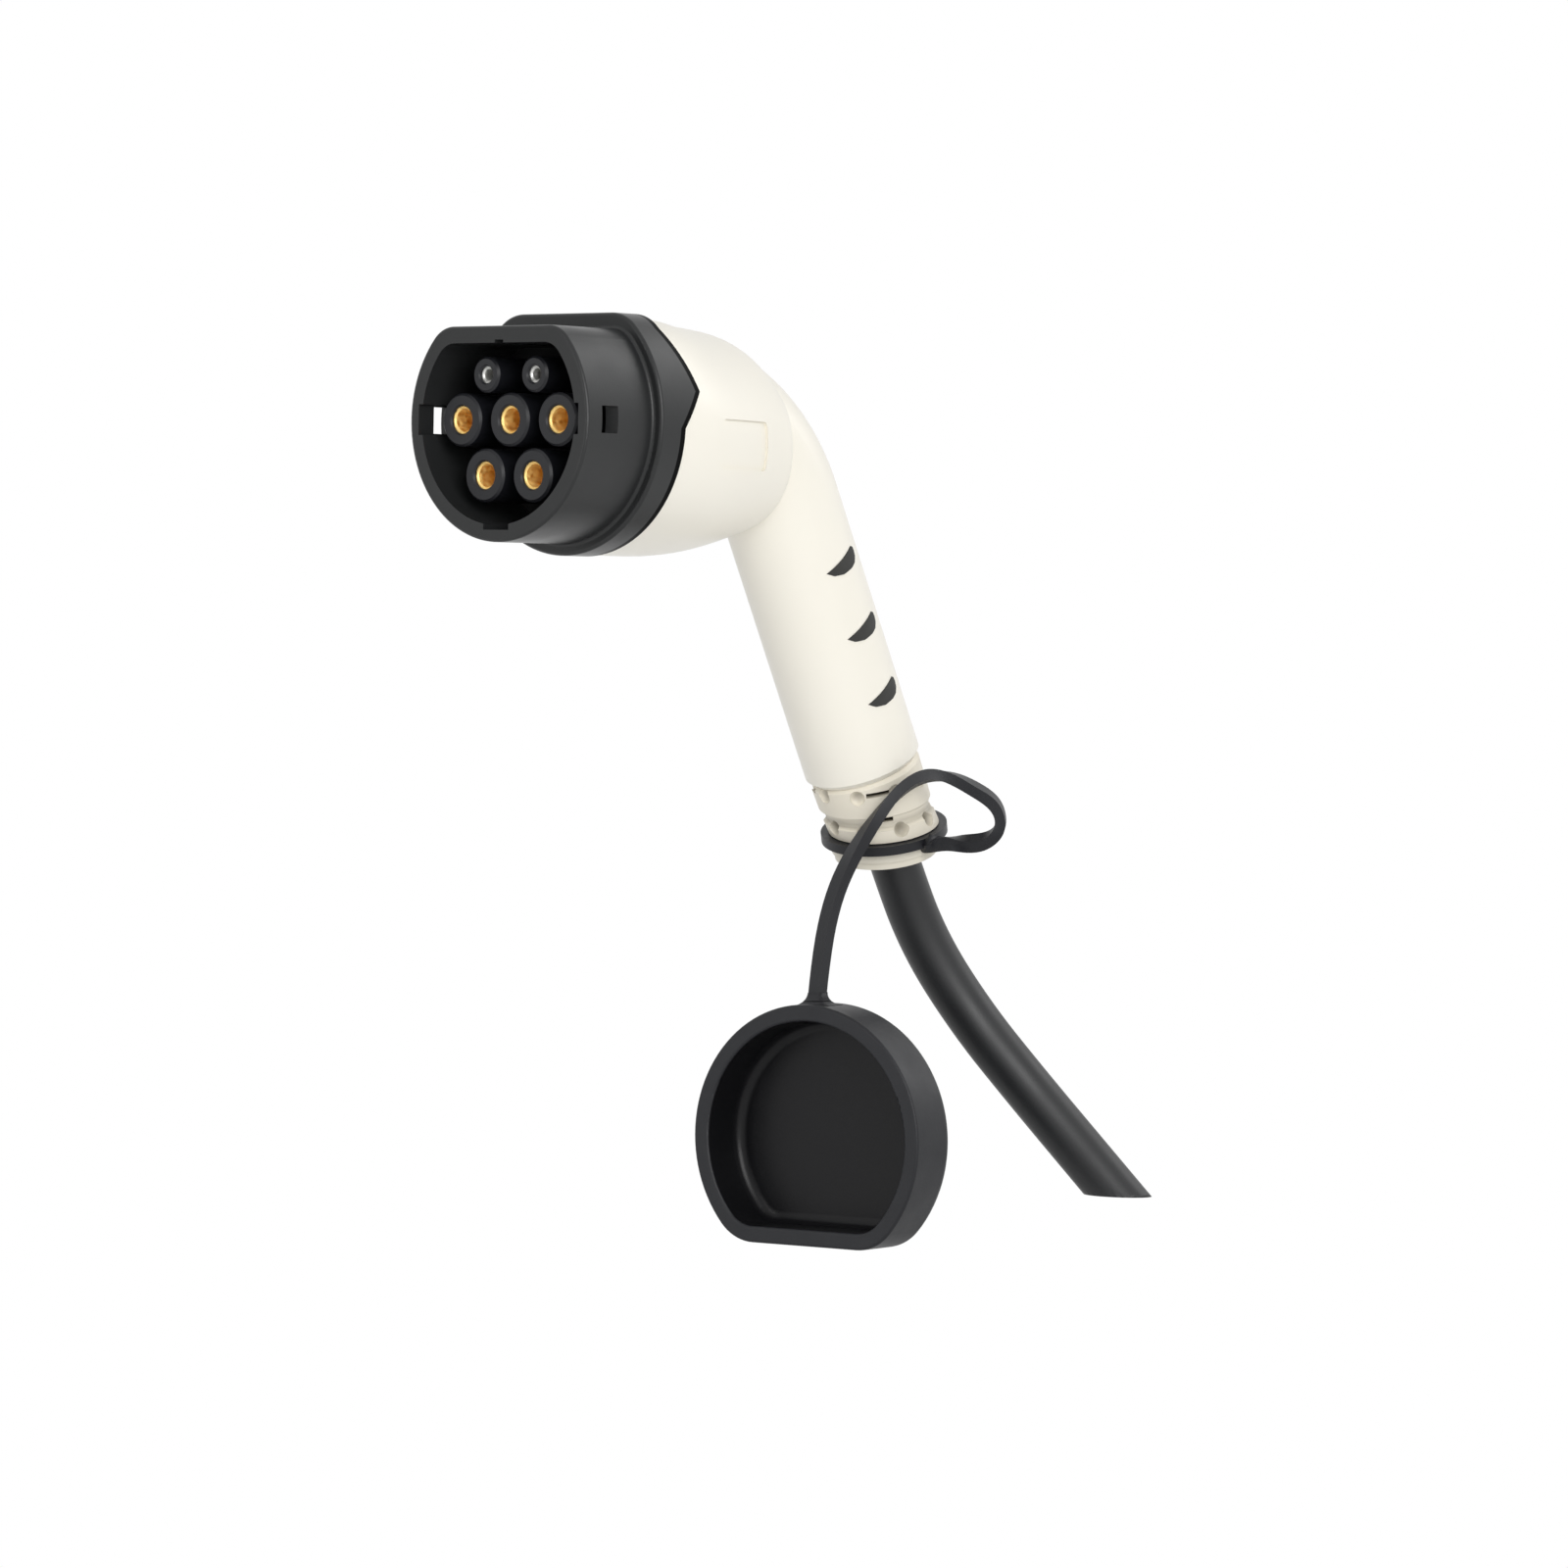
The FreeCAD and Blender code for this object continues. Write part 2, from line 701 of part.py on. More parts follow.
def make_contact(name, y, z, kind):
    bore_end = contact_front + size(kind + "_depth")
    crimp_rear = crimp_front + size(kind + "_crimp_length")
    wire = size("core_radius" if kind == "power" else "pilot_radius") + gap
    body = size(kind + "_body")
    contact = turned_along_x("contact_" + name, [
        (contact_front, size(kind + "_bore") + size("mouth_chamfer")),
        (contact_front + size("mouth_chamfer"), size(kind + "_bore")),
        (bore_end, size(kind + "_bore")),
        (bore_end, ZERO),
        (crimp_rear - size("crimp_depth"), ZERO),
        (crimp_rear - size("crimp_depth"), wire),
        (crimp_rear, wire),
        (crimp_rear, size(kind + "_crimp")),
        (crimp_front, size(kind + "_crimp")),
        (crimp_front, body),
        (carrier_rear, body),
        (carrier_rear, size(kind + "_collar")),
        (carrier_rear - size("collar_thickness"), size(kind + "_collar")),
        (carrier_rear - size("collar_thickness"), body),
        (contact_front + size("mouth_chamfer"), body),
        (contact_front, body - size("mouth_chamfer") / 2),
    ])
    place(contact, ZERO, y, z)


for name, y, z, _, _ in CONTACTS:
    make_sleeve(name, y, z, kind_of(name))
    make_contact(name, y, z, kind_of(name))


# Handle frame: the tilted axis, its bend centre and its foot

tilt = size("handle_tilt")
bend_z = size("bend_centre_height")
bend_x = size("handle_cross") - (size("bend_radius") + sine(tilt) * bend_z) / cosine(tilt)
foot_x = bend_x + cosine(tilt) * size("bend_radius") + sine(tilt) * size("handle_length")
foot_z = bend_z + sine(tilt) * size("bend_radius") - cosine(tilt) * size("handle_length")
TILT_AXIS = FreeCAD.Vector(0, -1, 0)
foot_turn = FreeCAD.Rotation(TILT_AXIS, tilt.value)
foot = FreeCAD.Placement(FreeCAD.Vector(foot_x.value, 0, foot_z.value), foot_turn)


def stand_at_foot(item):
    """Local Z runs up the handle axis from its foot and local X towards its back."""
    item.Placement = foot
    item.setExpression("Placement.Base.x", foot_x.formula)
    item.setExpression("Placement.Base.z", foot_z.formula)
    item.setExpression("Placement.Rotation.Angle", tilt.formula)


def handle_tube(label, radius):
    """The round handle: a straight length below the bend and the bend up into the head."""
    body = new_body(label, subpart=False)
    section = new_sketch(body, "Section", "XY_Plane", bend_x, ZERO, bend_z, TILT_AXIS, tilt)
    add_circle(section, radius, size("bend_radius"), ZERO)
    add_pad(body, "Grip", section, size("handle_length"), back=True)
    bend = body.newObject("PartDesign::Revolution", "Bend")
    bend.Profile = section
    bend.ReferenceAxis = (section, ["V_Axis"])
    bend.Reversed = True
    bind(bend, Angle=Length(90 - tilt.value, f"(90 - {tilt.formula})"))
    doc.recompute()
    return body


handle_outer = handle_tube("HandleOuter", size("handle_radius"))


def round_the_foot(edge):
    """True for the circle that ends the handle."""
    return edge.Closed and edge.CenterOfMass.distanceToPoint(foot.Base) < SAME_PLACE


foot_edges = edges_at(handle_outer.Shape, round_the_foot)
handle_bend = handle_outer.Tip
chamfer = handle_outer.newObject("PartDesign::Chamfer", "FootChamfer")
chamfer.Base = (handle_bend, foot_edges)
bind(chamfer, Size=size("foot_chamfer"))
doc.recompute()
handle_bore = handle_tube("HandleBore", size("handle_radius") - size("wall"))


# Head: closed sections along X in shares of the flange radius, each (station behind the flange,
# middle, half width, lowest, rise, flattening)

SECTIONS = [
    (0.0, 0.0, 0.9856, -0.9856, 0.9856, 0.817),
    (0.4598, -0.0431, 0.9253, -0.9914, 0.9483, 0.89),
    (0.9195, -0.1149, 0.8161, -0.954, 0.8966, 1.1),
    (1.3506, -0.1437, 0.6839, -0.8649, 0.8448, 1.3),
    (1.7529, -0.1868, 0.5603, -0.7586, 0.5891, 1.3),
]
SECTION_POINTS = 24
FLATNESS = 12
HEAD_SIZE = number(size("flange_radius"))
HEAD_FRONT = number(size("flange_rear"))
head_stations = [HEAD_FRONT + section[0] * HEAD_SIZE for section in SECTIONS]


def section_at(station):
    """The section values at any station, between the listed ones."""
    place = (station - HEAD_FRONT) / HEAD_SIZE
    for before, after in zip(SECTIONS, SECTIONS[1:]):
        if place <= after[0]:
            break
    share = (place - before[0]) / (after[0] - before[0])
    values = [low + (high - low) * share for low, high in zip(before[1:], after[1:])]
    return [value * HEAD_SIZE for value in values[:4]] + [values[4]]


def section_wire(station, inset):
    """A smooth closed outline, drawn in by the inset."""
    middle, width, lowest, rise, flat = section_at(station)
    points = []
    for index in range(SECTION_POINTS):
        turn = 2 * math.pi * index / SECTION_POINTS
        up = math.sin(turn)
        ratio = (1 + (up / flat) ** FLATNESS) ** (-1 / FLATNESS) if up > 0 else 1.0
        reach = rise if up > 0 else middle - lowest
        y = (width - inset) * ratio * math.cos(turn)
        z = middle + (reach - inset) * ratio * up
        points.append(FreeCAD.Vector(station, y, z))
    curve = Part.BSplineCurve()
    curve.interpolate(points, PeriodicFlag=True)
    return Part.Wire([curve.toShape()])


def head_solid(stations, inset):
    return Part.makeLoft([section_wire(station, inset) for station in stations], True, False)


def fixed(label, shape):
    item = doc.addObject("Part::Feature", label)
    item.Shape = shape
    return item


head = head_solid(head_stations, 0.0)
head_end = [edge for edge in head.Edges if flat_at(edge, "X", head_stations[-1])]
head_outer = fixed("HeadOuter", head.makeFillet(number(size("head_end_round")), head_end))
cavity_front = number(size("spigot_rear")) - number(size("cavity_overlap"))
cavity_rear = head_stations[-1] - number(size("cavity_end"))
cavity_stations = [cavity_front] + head_stations[1:-1] + [cavity_rear]
head_cavity = fixed("HeadCavity", head_solid(cavity_stations, number(size("wall"))))


# Front opening of the housing, which takes the spigot, and the notches for its tabs

front_opening = new_body("FrontOpening", subpart=False)
mouth = new_sketch(front_opening, "MouthOutline", "YZ_Plane", z=size("flange_rear") - size("tab_root"))
mouth_radius = size("spigot_radius") + size("seat_clearance")
mouth_flat = size("spigot_flat") + size("seat_clearance")
add_d_outline(mouth, mouth_radius, mouth_flat, size("spigot_corner") + size("seat_clearance"))
mouth_length = size("spigot_rear") - size("flange_rear") + size("tab_root") + size("cavity_overlap")
add_pad(front_opening, "Mouth", mouth, mouth_length)
tab_notches = new_body("TabNotches", subpart=False)
notch = new_sketch(tab_notches, "NotchOutline", "XZ_Plane")
tab_outline(notch, size("tab_gap"))
add_pad(tab_notches, "Notches", notch, past_nose, both=True)


# Label recess: a bare shallow field on the near flank

label_block = new_body("LabelBlock", subpart=False)
field = new_sketch(label_block, "FieldOutline", "XZ_Plane", z=size("flange_radius") / 2)
add_box(field, size("recess_length"), size("recess_height"), size("recess_centre"), size("recess_level"))
add_pad(label_block, "Field", field, size("flange_radius"))
half_field = number(size("flange_radius")) / 2
corners = edges_at(label_block.Shape, lambda edge: edge.BoundBox.YLength > half_field)
add_fillet(label_block, "FieldCorners", label_block.Tip, corners, size("recess_corner"))
label_floor = fixed("LabelFloor", head_solid(head_stations, number(size("recess_depth"))))
label_recess = doc.addObject("Part::Cut", "LabelRecess")
label_recess.Base = label_block
label_recess.Tool = label_floor
doc.recompute()


# Grip inserts: soft leaf-shaped fields let into both flanks of the handle, three on each side

# The leaf seen from the side, in shares of its length towards the back and of its height
LEAF = [
    (-0.5, 0.0),
    (0.42, 0.52),
    (0.48, 0.42),
    (0.5, 0.17),
    (0.47, -0.11),
    (0.37, -0.35),
    (0.2, -0.46),
    (-0.1, -0.48),
    (-0.34, -0.31),
]


def grip_outline(sketch, height, grow):
    """A leaf with its tip at the front, grown all round by grow."""
    length, tall = size("grip_length") + grow * 2, size("grip_height") + grow * 2
    return add_polygon(sketch, [(length * x, height + tall * z) for x, z in LEAF])


def band(label, inner, outer):
    """A long ring about the handle axis between two radii."""
    ring = turned_along_z(label, [
        (inner, ZERO),
        (outer, ZERO),
        (outer, size("handle_length")),
        (inner, size("handle_length")),
    ], subpart=False)
    stand_at_foot(ring)
    return ring


past_handle = size("handle_radius") * 3
grip_floor = size("handle_radius") - size("grip_depth")
recess_band = band("RecessBand", grip_floor, size("handle_radius") + size("grip_depth"))
insert_band = band("InsertBand", grip_floor + gap, size("handle_radius") + size("grip_proud"))
grip_recesses = []
for index, name in enumerate(("lower", "middle", "upper")):
    height = size("grip_first") + size("grip_pitch") * index
    slab = new_body(f"RecessSlab{index}", subpart=False)
    leaf = new_sketch(slab, "SideOutline", "XZ_Plane")
    grip_outline(leaf, height, ZERO)
    add_pad(slab, "Slab", leaf, past_handle, both=True)
    stand_at_foot(slab)
    recess = doc.addObject("Part::Common", f"GripRecess{index}")
    recess.Base, recess.Tool = recess_band, slab
    grip_recesses.append(recess)
    for side, back in (("left", False), ("right", True)):
        slab = new_body(f"InsertSlab{index}{side}", subpart=False)
        leaf = new_sketch(slab, "SideOutline", "XZ_Plane")
        grip_outline(leaf, height, -gap)
        add_pad(slab, "Slab", leaf, past_handle / 2, back=back)
        stand_at_foot(slab)
        insert = doc.addObject("Part::Common", f"grip_insert_{name}_{side}")
        insert.Base, insert.Tool = insert_band, slab
        subparts.append(insert)
doc.recompute()


# Handle housing: the ivory shell of head and handle in one moulding

shell = head_outer.Shape.copy().fuse(handle_outer.Shape.copy())
for tool in [head_cavity, handle_bore, front_opening, tab_notches, label_recess] + grip_recesses:
    shell = shell.cut(tool.Shape.copy())
housing = fixed("handle_housing", shell.Solids[0])
subparts.append(housing)
doc.recompute()


# Neck frames: the flexible neck leans below the handle, so that its lower end, the strap ring and
# the gland stand at an angle to the handle axis, while their middles stay on that axis

def leaning(depth, share):
    """The frame at a depth below the foot of the handle, leaning by a share of the neck's bend."""
    way = math.radians(number(size("neck_bend_way")))
    axis = FreeCAD.Vector(-math.sin(way), math.cos(way), 0)
    turn = FreeCAD.Rotation(axis, number(size("neck_bend")) * share)
    return foot.multiply(FreeCAD.Placement(FreeCAD.Vector(0, 0, -depth), turn))


def disc_wire(frame, radius, height=0.0):
    wire = Part.Wire([Part.Circle(FreeCAD.Vector(0, 0, height), UP, radius).toShape()])
    wire.Placement = frame
    return wire


def rod(frame, radius, low, high):
    """A cylinder about the frame's own axis."""
    solid = Part.makeCylinder(radius, high - low, FreeCAD.Vector(0, 0, low))
    solid.Placement = frame
    return solid


# Strain relief: the soft neck plugged into the foot of the handle, with a waist, two rows of
# dimples and slits that let it bend, and the groove of the strap ring at its lower end

handle_radius = number(size("handle_radius"))
fit = number(size("fit_clearance"))
neck_bore = handle_radius - number(size("neck_bore_inset"))
band_radius = handle_radius - number(size("neck_band_inset"))
waist_radius = handle_radius - number(size("neck_waist_inset"))
lip_radius = handle_radius - number(size("neck_lip_inset"))
groove_bottom = handle_radius - number(size("groove_inset"))
groove_half = number(size("ring_thickness")) / 2 + number(size("ring_side_gap"))
ring_depth = number(size("ring_level"))
ring_frame = leaning(ring_depth, 1.0)
edge = number(size("neck_edge"))
neck_wires = [
    disc_wire(leaning(0.0, 0.0), handle_radius - number(size("neck_top_inset"))),
    disc_wire(leaning(edge * 2, number(size("lean_at_top"))), band_radius),
    disc_wire(leaning(number(size("band_low")) - edge, number(size("lean_at_band"))), band_radius),
    disc_wire(leaning(number(size("band_low")), 1.0), band_radius - edge),
    disc_wire(leaning(number(size("waist_high")), 1.0), waist_radius),
    disc_wire(leaning(number(size("waist_low")), 1.0), waist_radius),
    disc_wire(leaning(number(size("lip_high")), 1.0), lip_radius),
    disc_wire(ring_frame, lip_radius, groove_half),
]
neck = Part.makeLoft(neck_wires, True, True)
plug_radius = handle_radius - number(size("wall")) - fit * 2
neck = neck.fuse(rod(foot, plug_radius, -edge, number(size("neck_plug"))))
neck = neck.fuse(rod(ring_frame, groove_bottom, -groove_half, groove_half + edge))
neck = neck.cut(rod(foot, neck_bore, -ring_depth * 2, number(size("neck_plug")) * 2))
# Each row: share of the bend, inset of the skin, then depth below the foot and angle of the first
# dimple and of the first slit
NECK_ROWS = [
    (0.8, 0.75, 4.0, -152.0, 3.5, -130.0),
    (1.0, 1.4, 15.0, -197.0, 11.6, -135.0),
]


def radial_frame(depth, share, angle):
    """Local X points out of the neck at that angle."""
    turn = FreeCAD.Placement(ORIGIN, FreeCAD.Rotation(UP, angle))
    return leaning(depth, share).multiply(turn)


def dimple(depth, share, angle, inset):
    middle = handle_radius - inset + number(size("dimple_radius")) - number(size("dimple_depth"))
    ball = Part.makeSphere(number(size("dimple_radius")), FreeCAD.Vector(middle, 0, 0))
    ball.Placement = radial_frame(depth, share, angle)
    return ball


def slit(depth, share, angle):
    width, height = number(size("slit_width")), number(size("slit_height"))
    inner = neck_bore - number(size("neck_edge")) * 2
    corner = FreeCAD.Vector(inner, -width / 2, -height / 2)
    block = Part.makeBox(handle_radius - inner, width, height, corner)
    block.Placement = radial_frame(depth, share, angle)
    return block


hollows = []
for share, inset, dimple_depth, first_dimple, slit_depth, first_slit in NECK_ROWS:
    for index in range(int(number(size("dimple_count")))):
        turn = 360 / number(size("dimple_count")) * index
        hollows.append(dimple(dimple_depth, share, first_dimple + turn, inset))
    for index in range(int(number(size("slit_count")))):
        turn = 360 / number(size("slit_count")) * index
        hollows.append(slit(slit_depth, share, first_slit + turn))
neck = neck.cut(hollows)
relief_neck = fixed("strain_relief", neck.Solids[0])
subparts.append(relief_neck)


# Gland cap: the ivory collar that closes the neck round the cable

gland_band = number(size("gland_band"))
gland_length = number(size("gland_length"))
gland_radius = handle_radius - number(size("gland_inset"))
step_radius = handle_radius - number(size("gland_step_inset"))
gland_bore = handle_radius - number(size("gland_bore_inset"))
plug_top = -number(size("gland_plug_top"))
exit_radius = number(size("cable_radius")) + number(size("exit_clearance"))
gland = rod(ring_frame, gland_radius, -groove_half - gland_band, -groove_half)
gland = gland.fuse(rod(ring_frame, step_radius, -groove_half - gland_length, -groove_half))
gland_plug = rod(foot, neck_bore - fit, -ring_depth * 2, plug_top)
gland_plug = gland_plug.common(rod(ring_frame, handle_radius * 2, -groove_half - edge, ring_depth))
gland = gland.fuse(gland_plug)
seat_level = -(ring_depth + groove_half - edge / 2)
gland = gland.cut(rod(foot, gland_bore, seat_level, plug_top + edge))
gland = gland.cut(rod(foot, exit_radius, -ring_depth * 2, 0.0))
gland_cap = fixed("gland_cap", gland.Solids[0])
subparts.append(gland_cap)


# Cable seal: a rubber bush squeezed between gland cap and cable

groove_low = size("ring_level") + size("ring_thickness") / 2 + size("ring_side_gap")
seal_low = size("neck_edge") / 2 - groove_low
seal_outer = size("handle_radius") - size("gland_bore_inset") - gap
seal = turned_along_z("cable_seal", [
    (size("cable_radius") + gap, seal_low + gap),
    (seal_outer, seal_low + gap),
    (seal_outer, -size("gland_plug_top") - size("neck_edge")),
    (size("cable_radius") + gap, -size("gland_plug_top") - size("neck_edge")),
])
stand_at_foot(seal)


# Cable clamp: two half rings screwed together on the jacket inside the neck

clamp_radius = size("handle_radius") - size("clamp_inset")
clamp_bore = size("cable_radius") + gap / 2
screw_aside = clamp_radius - size("clamp_screw_inset")
for name, side in (("front", -1), ("rear", 1)):
    half = turned_along_z("cable_clamp_" + name, [
        (clamp_bore, size("clamp_top") - size("clamp_height")),
        (clamp_radius, size("clamp_top") - size("clamp_height")),
        (clamp_radius, size("clamp_top")),
        (clamp_bore, size("clamp_top")),
    ])
    middle = size("clamp_top") - size("clamp_height") / 2
    parting = new_sketch(half, "Parting", "YZ_Plane", z=size("clamp_split") * side)
    add_box(parting, clamp_radius * 3, size("clamp_height") * 3)
    add_pocket(half, "OtherHalf", parting, clamp_radius * 2, outward=side < 0)
    holes = new_sketch(half, "ScrewPlan", "YZ_Plane")
    for offset in (screw_aside, -screw_aside):
        add_circle(holes, size("clamp_screw_radius") + size("clamp_screw_clearance"), offset, middle)
    add_pocket(half, "ScrewHoles", holes, clamp_radius * 2.2, both=True)
    stand_at_foot(half)

for name, side in (("left", -1), ("right", 1)):
    screw = new_body("clamp_screw_" + name)
    plan = new_sketch(screw, "Section", "YZ_Plane")
    add_circle(plan, size("clamp_screw_radius"), screw_aside * side, middle)
    add_pad(screw, "Shank", plan, size("clamp_screw_length"), both=True)
    stand_at_foot(screw)


# Swept cords: straight runs joined by tangent arcs

CORNER_SHARE = 0.45
VOLUME_ERROR = 0.01


def rounded_path(points, largest=None):
    """The wire through points with arcs at its corners, and the radii of the arcs."""
    edges = []
    radii = []
    start = points[0]
    for index in range(1, len(points) - 1):
        corner = points[index]
        before = (points[index - 1] - corner)
        after = (points[index + 1] - corner)
        shorter = min(before.Length, after.Length)
        before.normalize()
        after.normalize()
        half_turn = (math.pi - before.getAngle(after)) / 2
        cut = CORNER_SHARE * shorter
        if largest is not None:
            cut = min(cut, largest * math.tan(half_turn))
        radius = cut / math.tan(half_turn)
        radii.append(radius)
        enter, leave = corner + before * cut, corner + after * cut
        inward = (before + after).normalize()
        middle = corner + inward * (radius / math.cos(half_turn) - radius)
        edges.append(Part.LineSegment(start, enter).toShape())
        edges.append(Part.Arc(enter, middle, leave).toShape())
        start = leave
    edges.append(Part.LineSegment(start, points[-1]).toShape())
    return Part.Wire(edges), radii


def add_cord(label, points, radius, largest=None):
    """A round cord swept along the path; its volume is proved against section times length."""
    wire, radii = rounded_path(points, largest)
    spine = fixed(label + "_path", wire)
    ring = doc.addObject("Part::Circle", label + "_section")
    bind(ring, Radius=radius)
    ahead = (points[1] - points[0]).normalize()
    ring.Placement = FreeCAD.Placement(points[0], FreeCAD.Rotation(UP, ahead))
    cord = doc.addObject("Part::Sweep", label)
    cord.Sections = [ring]
    cord.Spine = (spine, [f"Edge{index}" for index in range(1, len(wire.Edges) + 1)])
    cord.Solid = True
    cord.Frenet = False
    doc.recompute()
    expected = math.pi * number(radius) ** 2 * wire.Length
    error = abs(cord.Shape.Volume - expected) / expected
    print(label, "radii", [round(value, 1) for value in radii], "length", round(wire.Length, 1))
    if error > VOLUME_ERROR:
        raise RuntimeError(f"{label} is not swept whole")
    return cord


def on_handle(across, sideways, along):
    """A point given in the frame at the foot of the handle."""
    return foot.multVec(FreeCAD.Vector(across, sideways, along))


# Cores: from each crimp through head and handle into the end of the jacket

cable_start = number(size("cable_top"))
bend_one = number(size("core_bend_one"))
bend_share = number(size("core_bend_share"))
bend_two = number(size("handle_length")) - number(size("core_bend_two"))
for key, y, z, core_y, core_up in CONTACTS:
    if core_y is None:
        continue
    kind = kind_of(key)
    face = number(crimp_front + size(kind + "_crimp_length") - size("crimp_depth"))
    side, up = number(core_y), number(core_up)
    points = [
        FreeCAD.Vector(face, number(y), number(z)),
        FreeCAD.Vector(number(size("core_spread_end")), number(y), number(z)),
        FreeCAD.Vector(bend_one + up * bend_share, side, number(size("core_drop_one")) + up),
        on_handle(up, side, bend_two),
        on_handle(up, side, cable_start + fit),
    ]
    radius = size("core_radius") if kind == "power" else size("pilot_radius")
    subparts.append(add_cord("wire_" + key, points, radius, number(size("core_bend_radius"))))


# Coding resistor: wired between the earth crimp and the proximity crimp

resistor = turned_along_z("coding_resistor", [
    (ZERO, size("power_crimp")),
    (size("resistor_lead"), size("power_crimp")),
    (size("resistor_lead"), size("resistor_from")),
    (size("resistor_radius"), size("resistor_from")),
    (size("resistor_radius"), size("resistor_from") + size("resistor_length")),
    (size("resistor_lead"), size("resistor_from") + size("resistor_length")),
    (size("resistor_lead"), size("resistor_to")),
    (ZERO, size("resistor_to")),
])
lean = math.degrees(math.atan2(number(size("upper_pitch")), number(size("upper_rise"))))
resistor.Placement = FreeCAD.Placement(ORIGIN, FreeCAD.Rotation(FreeCAD.Vector(-1, 0, 0), lean))
resistor.setExpression("Placement.Rotation.Angle", "atan(Sizes.upper_pitch / Sizes.upper_rise)")
place(resistor, retainer_rear + size("resistor_behind"), ZERO, ZERO)


# Charging cable: the jacketed cord from the clamp to its cut end; the route is also its drawn path

# Points below the foot of the handle, in shares of the height over which the cable drops
CABLE_FALL = [
    (0.122107, 0.0, -0.235761),
    (0.206643, -0.022201, -0.420203),
    (0.288618, -0.106737, -0.597814),
    (0.354368, -0.223721, -0.754077),
    (0.40304, -0.354368, -0.902656),
    (0.439757, -0.486722, -1.042695),
]
cable_drop = number(size("cable_drop"))
cable_route = [on_handle(0, 0, cable_start)]
for fall in CABLE_FALL:
    cable_route.append(foot.Base + FreeCAD.Vector(*fall) * cable_drop)
cord_full = add_cord("CableFull", cable_route, size("cable_radius"))
below = doc.addObject("Part::Box", "BelowCut")
block_side = size("cable_drop") * 2
bind(below, Length=block_side, Width=block_side, Height=block_side)
place(below, foot_x - size("cable_drop"), -size("cable_drop"), foot_z - size("cable_drop") - block_side)
cable = doc.addObject("Part::Cut", "charging_cable")
cable.Base, cable.Tool = cord_full, below
subparts.append(cable)


# Protective cap: one rubber moulding of a ring round the neck, a flat strap and a cup

ring_inner = groove_bottom + number(size("ring_bore_gap"))
ring_outer = ring_inner + number(size("ring_width"))
ring_half = number(size("ring_thickness")) / 2
ring_block = rod(ring_frame, ring_outer, -ring_half, ring_half)
strap_ring = fixed("StrapRing", ring_block.cut(rod(ring_frame, ring_inner, -ring_half * 2, ring_half * 2)))

cup = new_body("CapCup", subpart=False)
cup_radius = size("nose_radius") + size("cap_clearance")
cup_flat = size("nose_flat") + size("cap_clearance")
cup_corner = size("nose_corner") + size("cap_clearance")
shape = new_sketch(cup, "CupOutline", "YZ_Plane")
cup_wall = size("cap_wall")
add_d_outline(shape, cup_radius + cup_wall, cup_flat + cup_wall, cup_corner + cup_wall)
add_pad(cup, "Cup", shape, size("cap_depth"))
shape = new_sketch(cup, "HollowOutline", "YZ_Plane")
add_d_outline(shape, cup_radius, cup_flat, cup_corner)
add_pocket(cup, "Hollow", shape, size("cap_depth") - size("cap_floor"))
back = edges_at(cup.Shape, lambda edge: flat_at(edge, "X", number(size("cap_depth"))))
add_fillet(cup, "BackRound", cup.Tip, back, size("cap_back_round"))
floor_level = number(size("cap_depth")) - number(size("cap_floor"))
floor_edges = edges_at(cup.Shape, lambda edge: flat_at(edge, "X", floor_level))
add_fillet(cup, "FloorRound", cup.Tip, floor_edges, size("cap_floor_round"))
front_edges = edges_at(cup.Shape, lambda edge: flat_at(edge, "X", 0.0))
add_fillet(cup, "RimRound", cup.Tip, front_edges, size("cap_rim_round"))

# The cup hangs with its flat side down and its opening turned to the near side
hang = FreeCAD.Matrix()
yaw = math.radians(number(size("cap_yaw")))
opening = FreeCAD.Vector(-math.cos(yaw), -math.sin(yaw), 0.0)
across = FreeCAD.Vector(math.sin(yaw), -math.cos(yaw), 0.0)
roll = math.radians(number(size("cap_roll")))
flat_way = UP * -math.cos(roll) + across * -math.sin(roll)
side_way = flat_way.cross(-opening)
hang.A11, hang.A21, hang.A31 = -opening
hang.A12, hang.A22, hang.A32 = side_way
hang.A13, hang.A23, hang.A33 = flat_way
cup_offset = FreeCAD.Vector(*(-number(size(way)) for way in ("cap_forward", "cap_aside", "cap_below")))
cup_place = ring_frame.Base + cup_offset
hang.A14, hang.A24, hang.A34 = cup_place.x, cup_place.y, cup_place.z
cup.Placement = FreeCAD.Placement(hang)

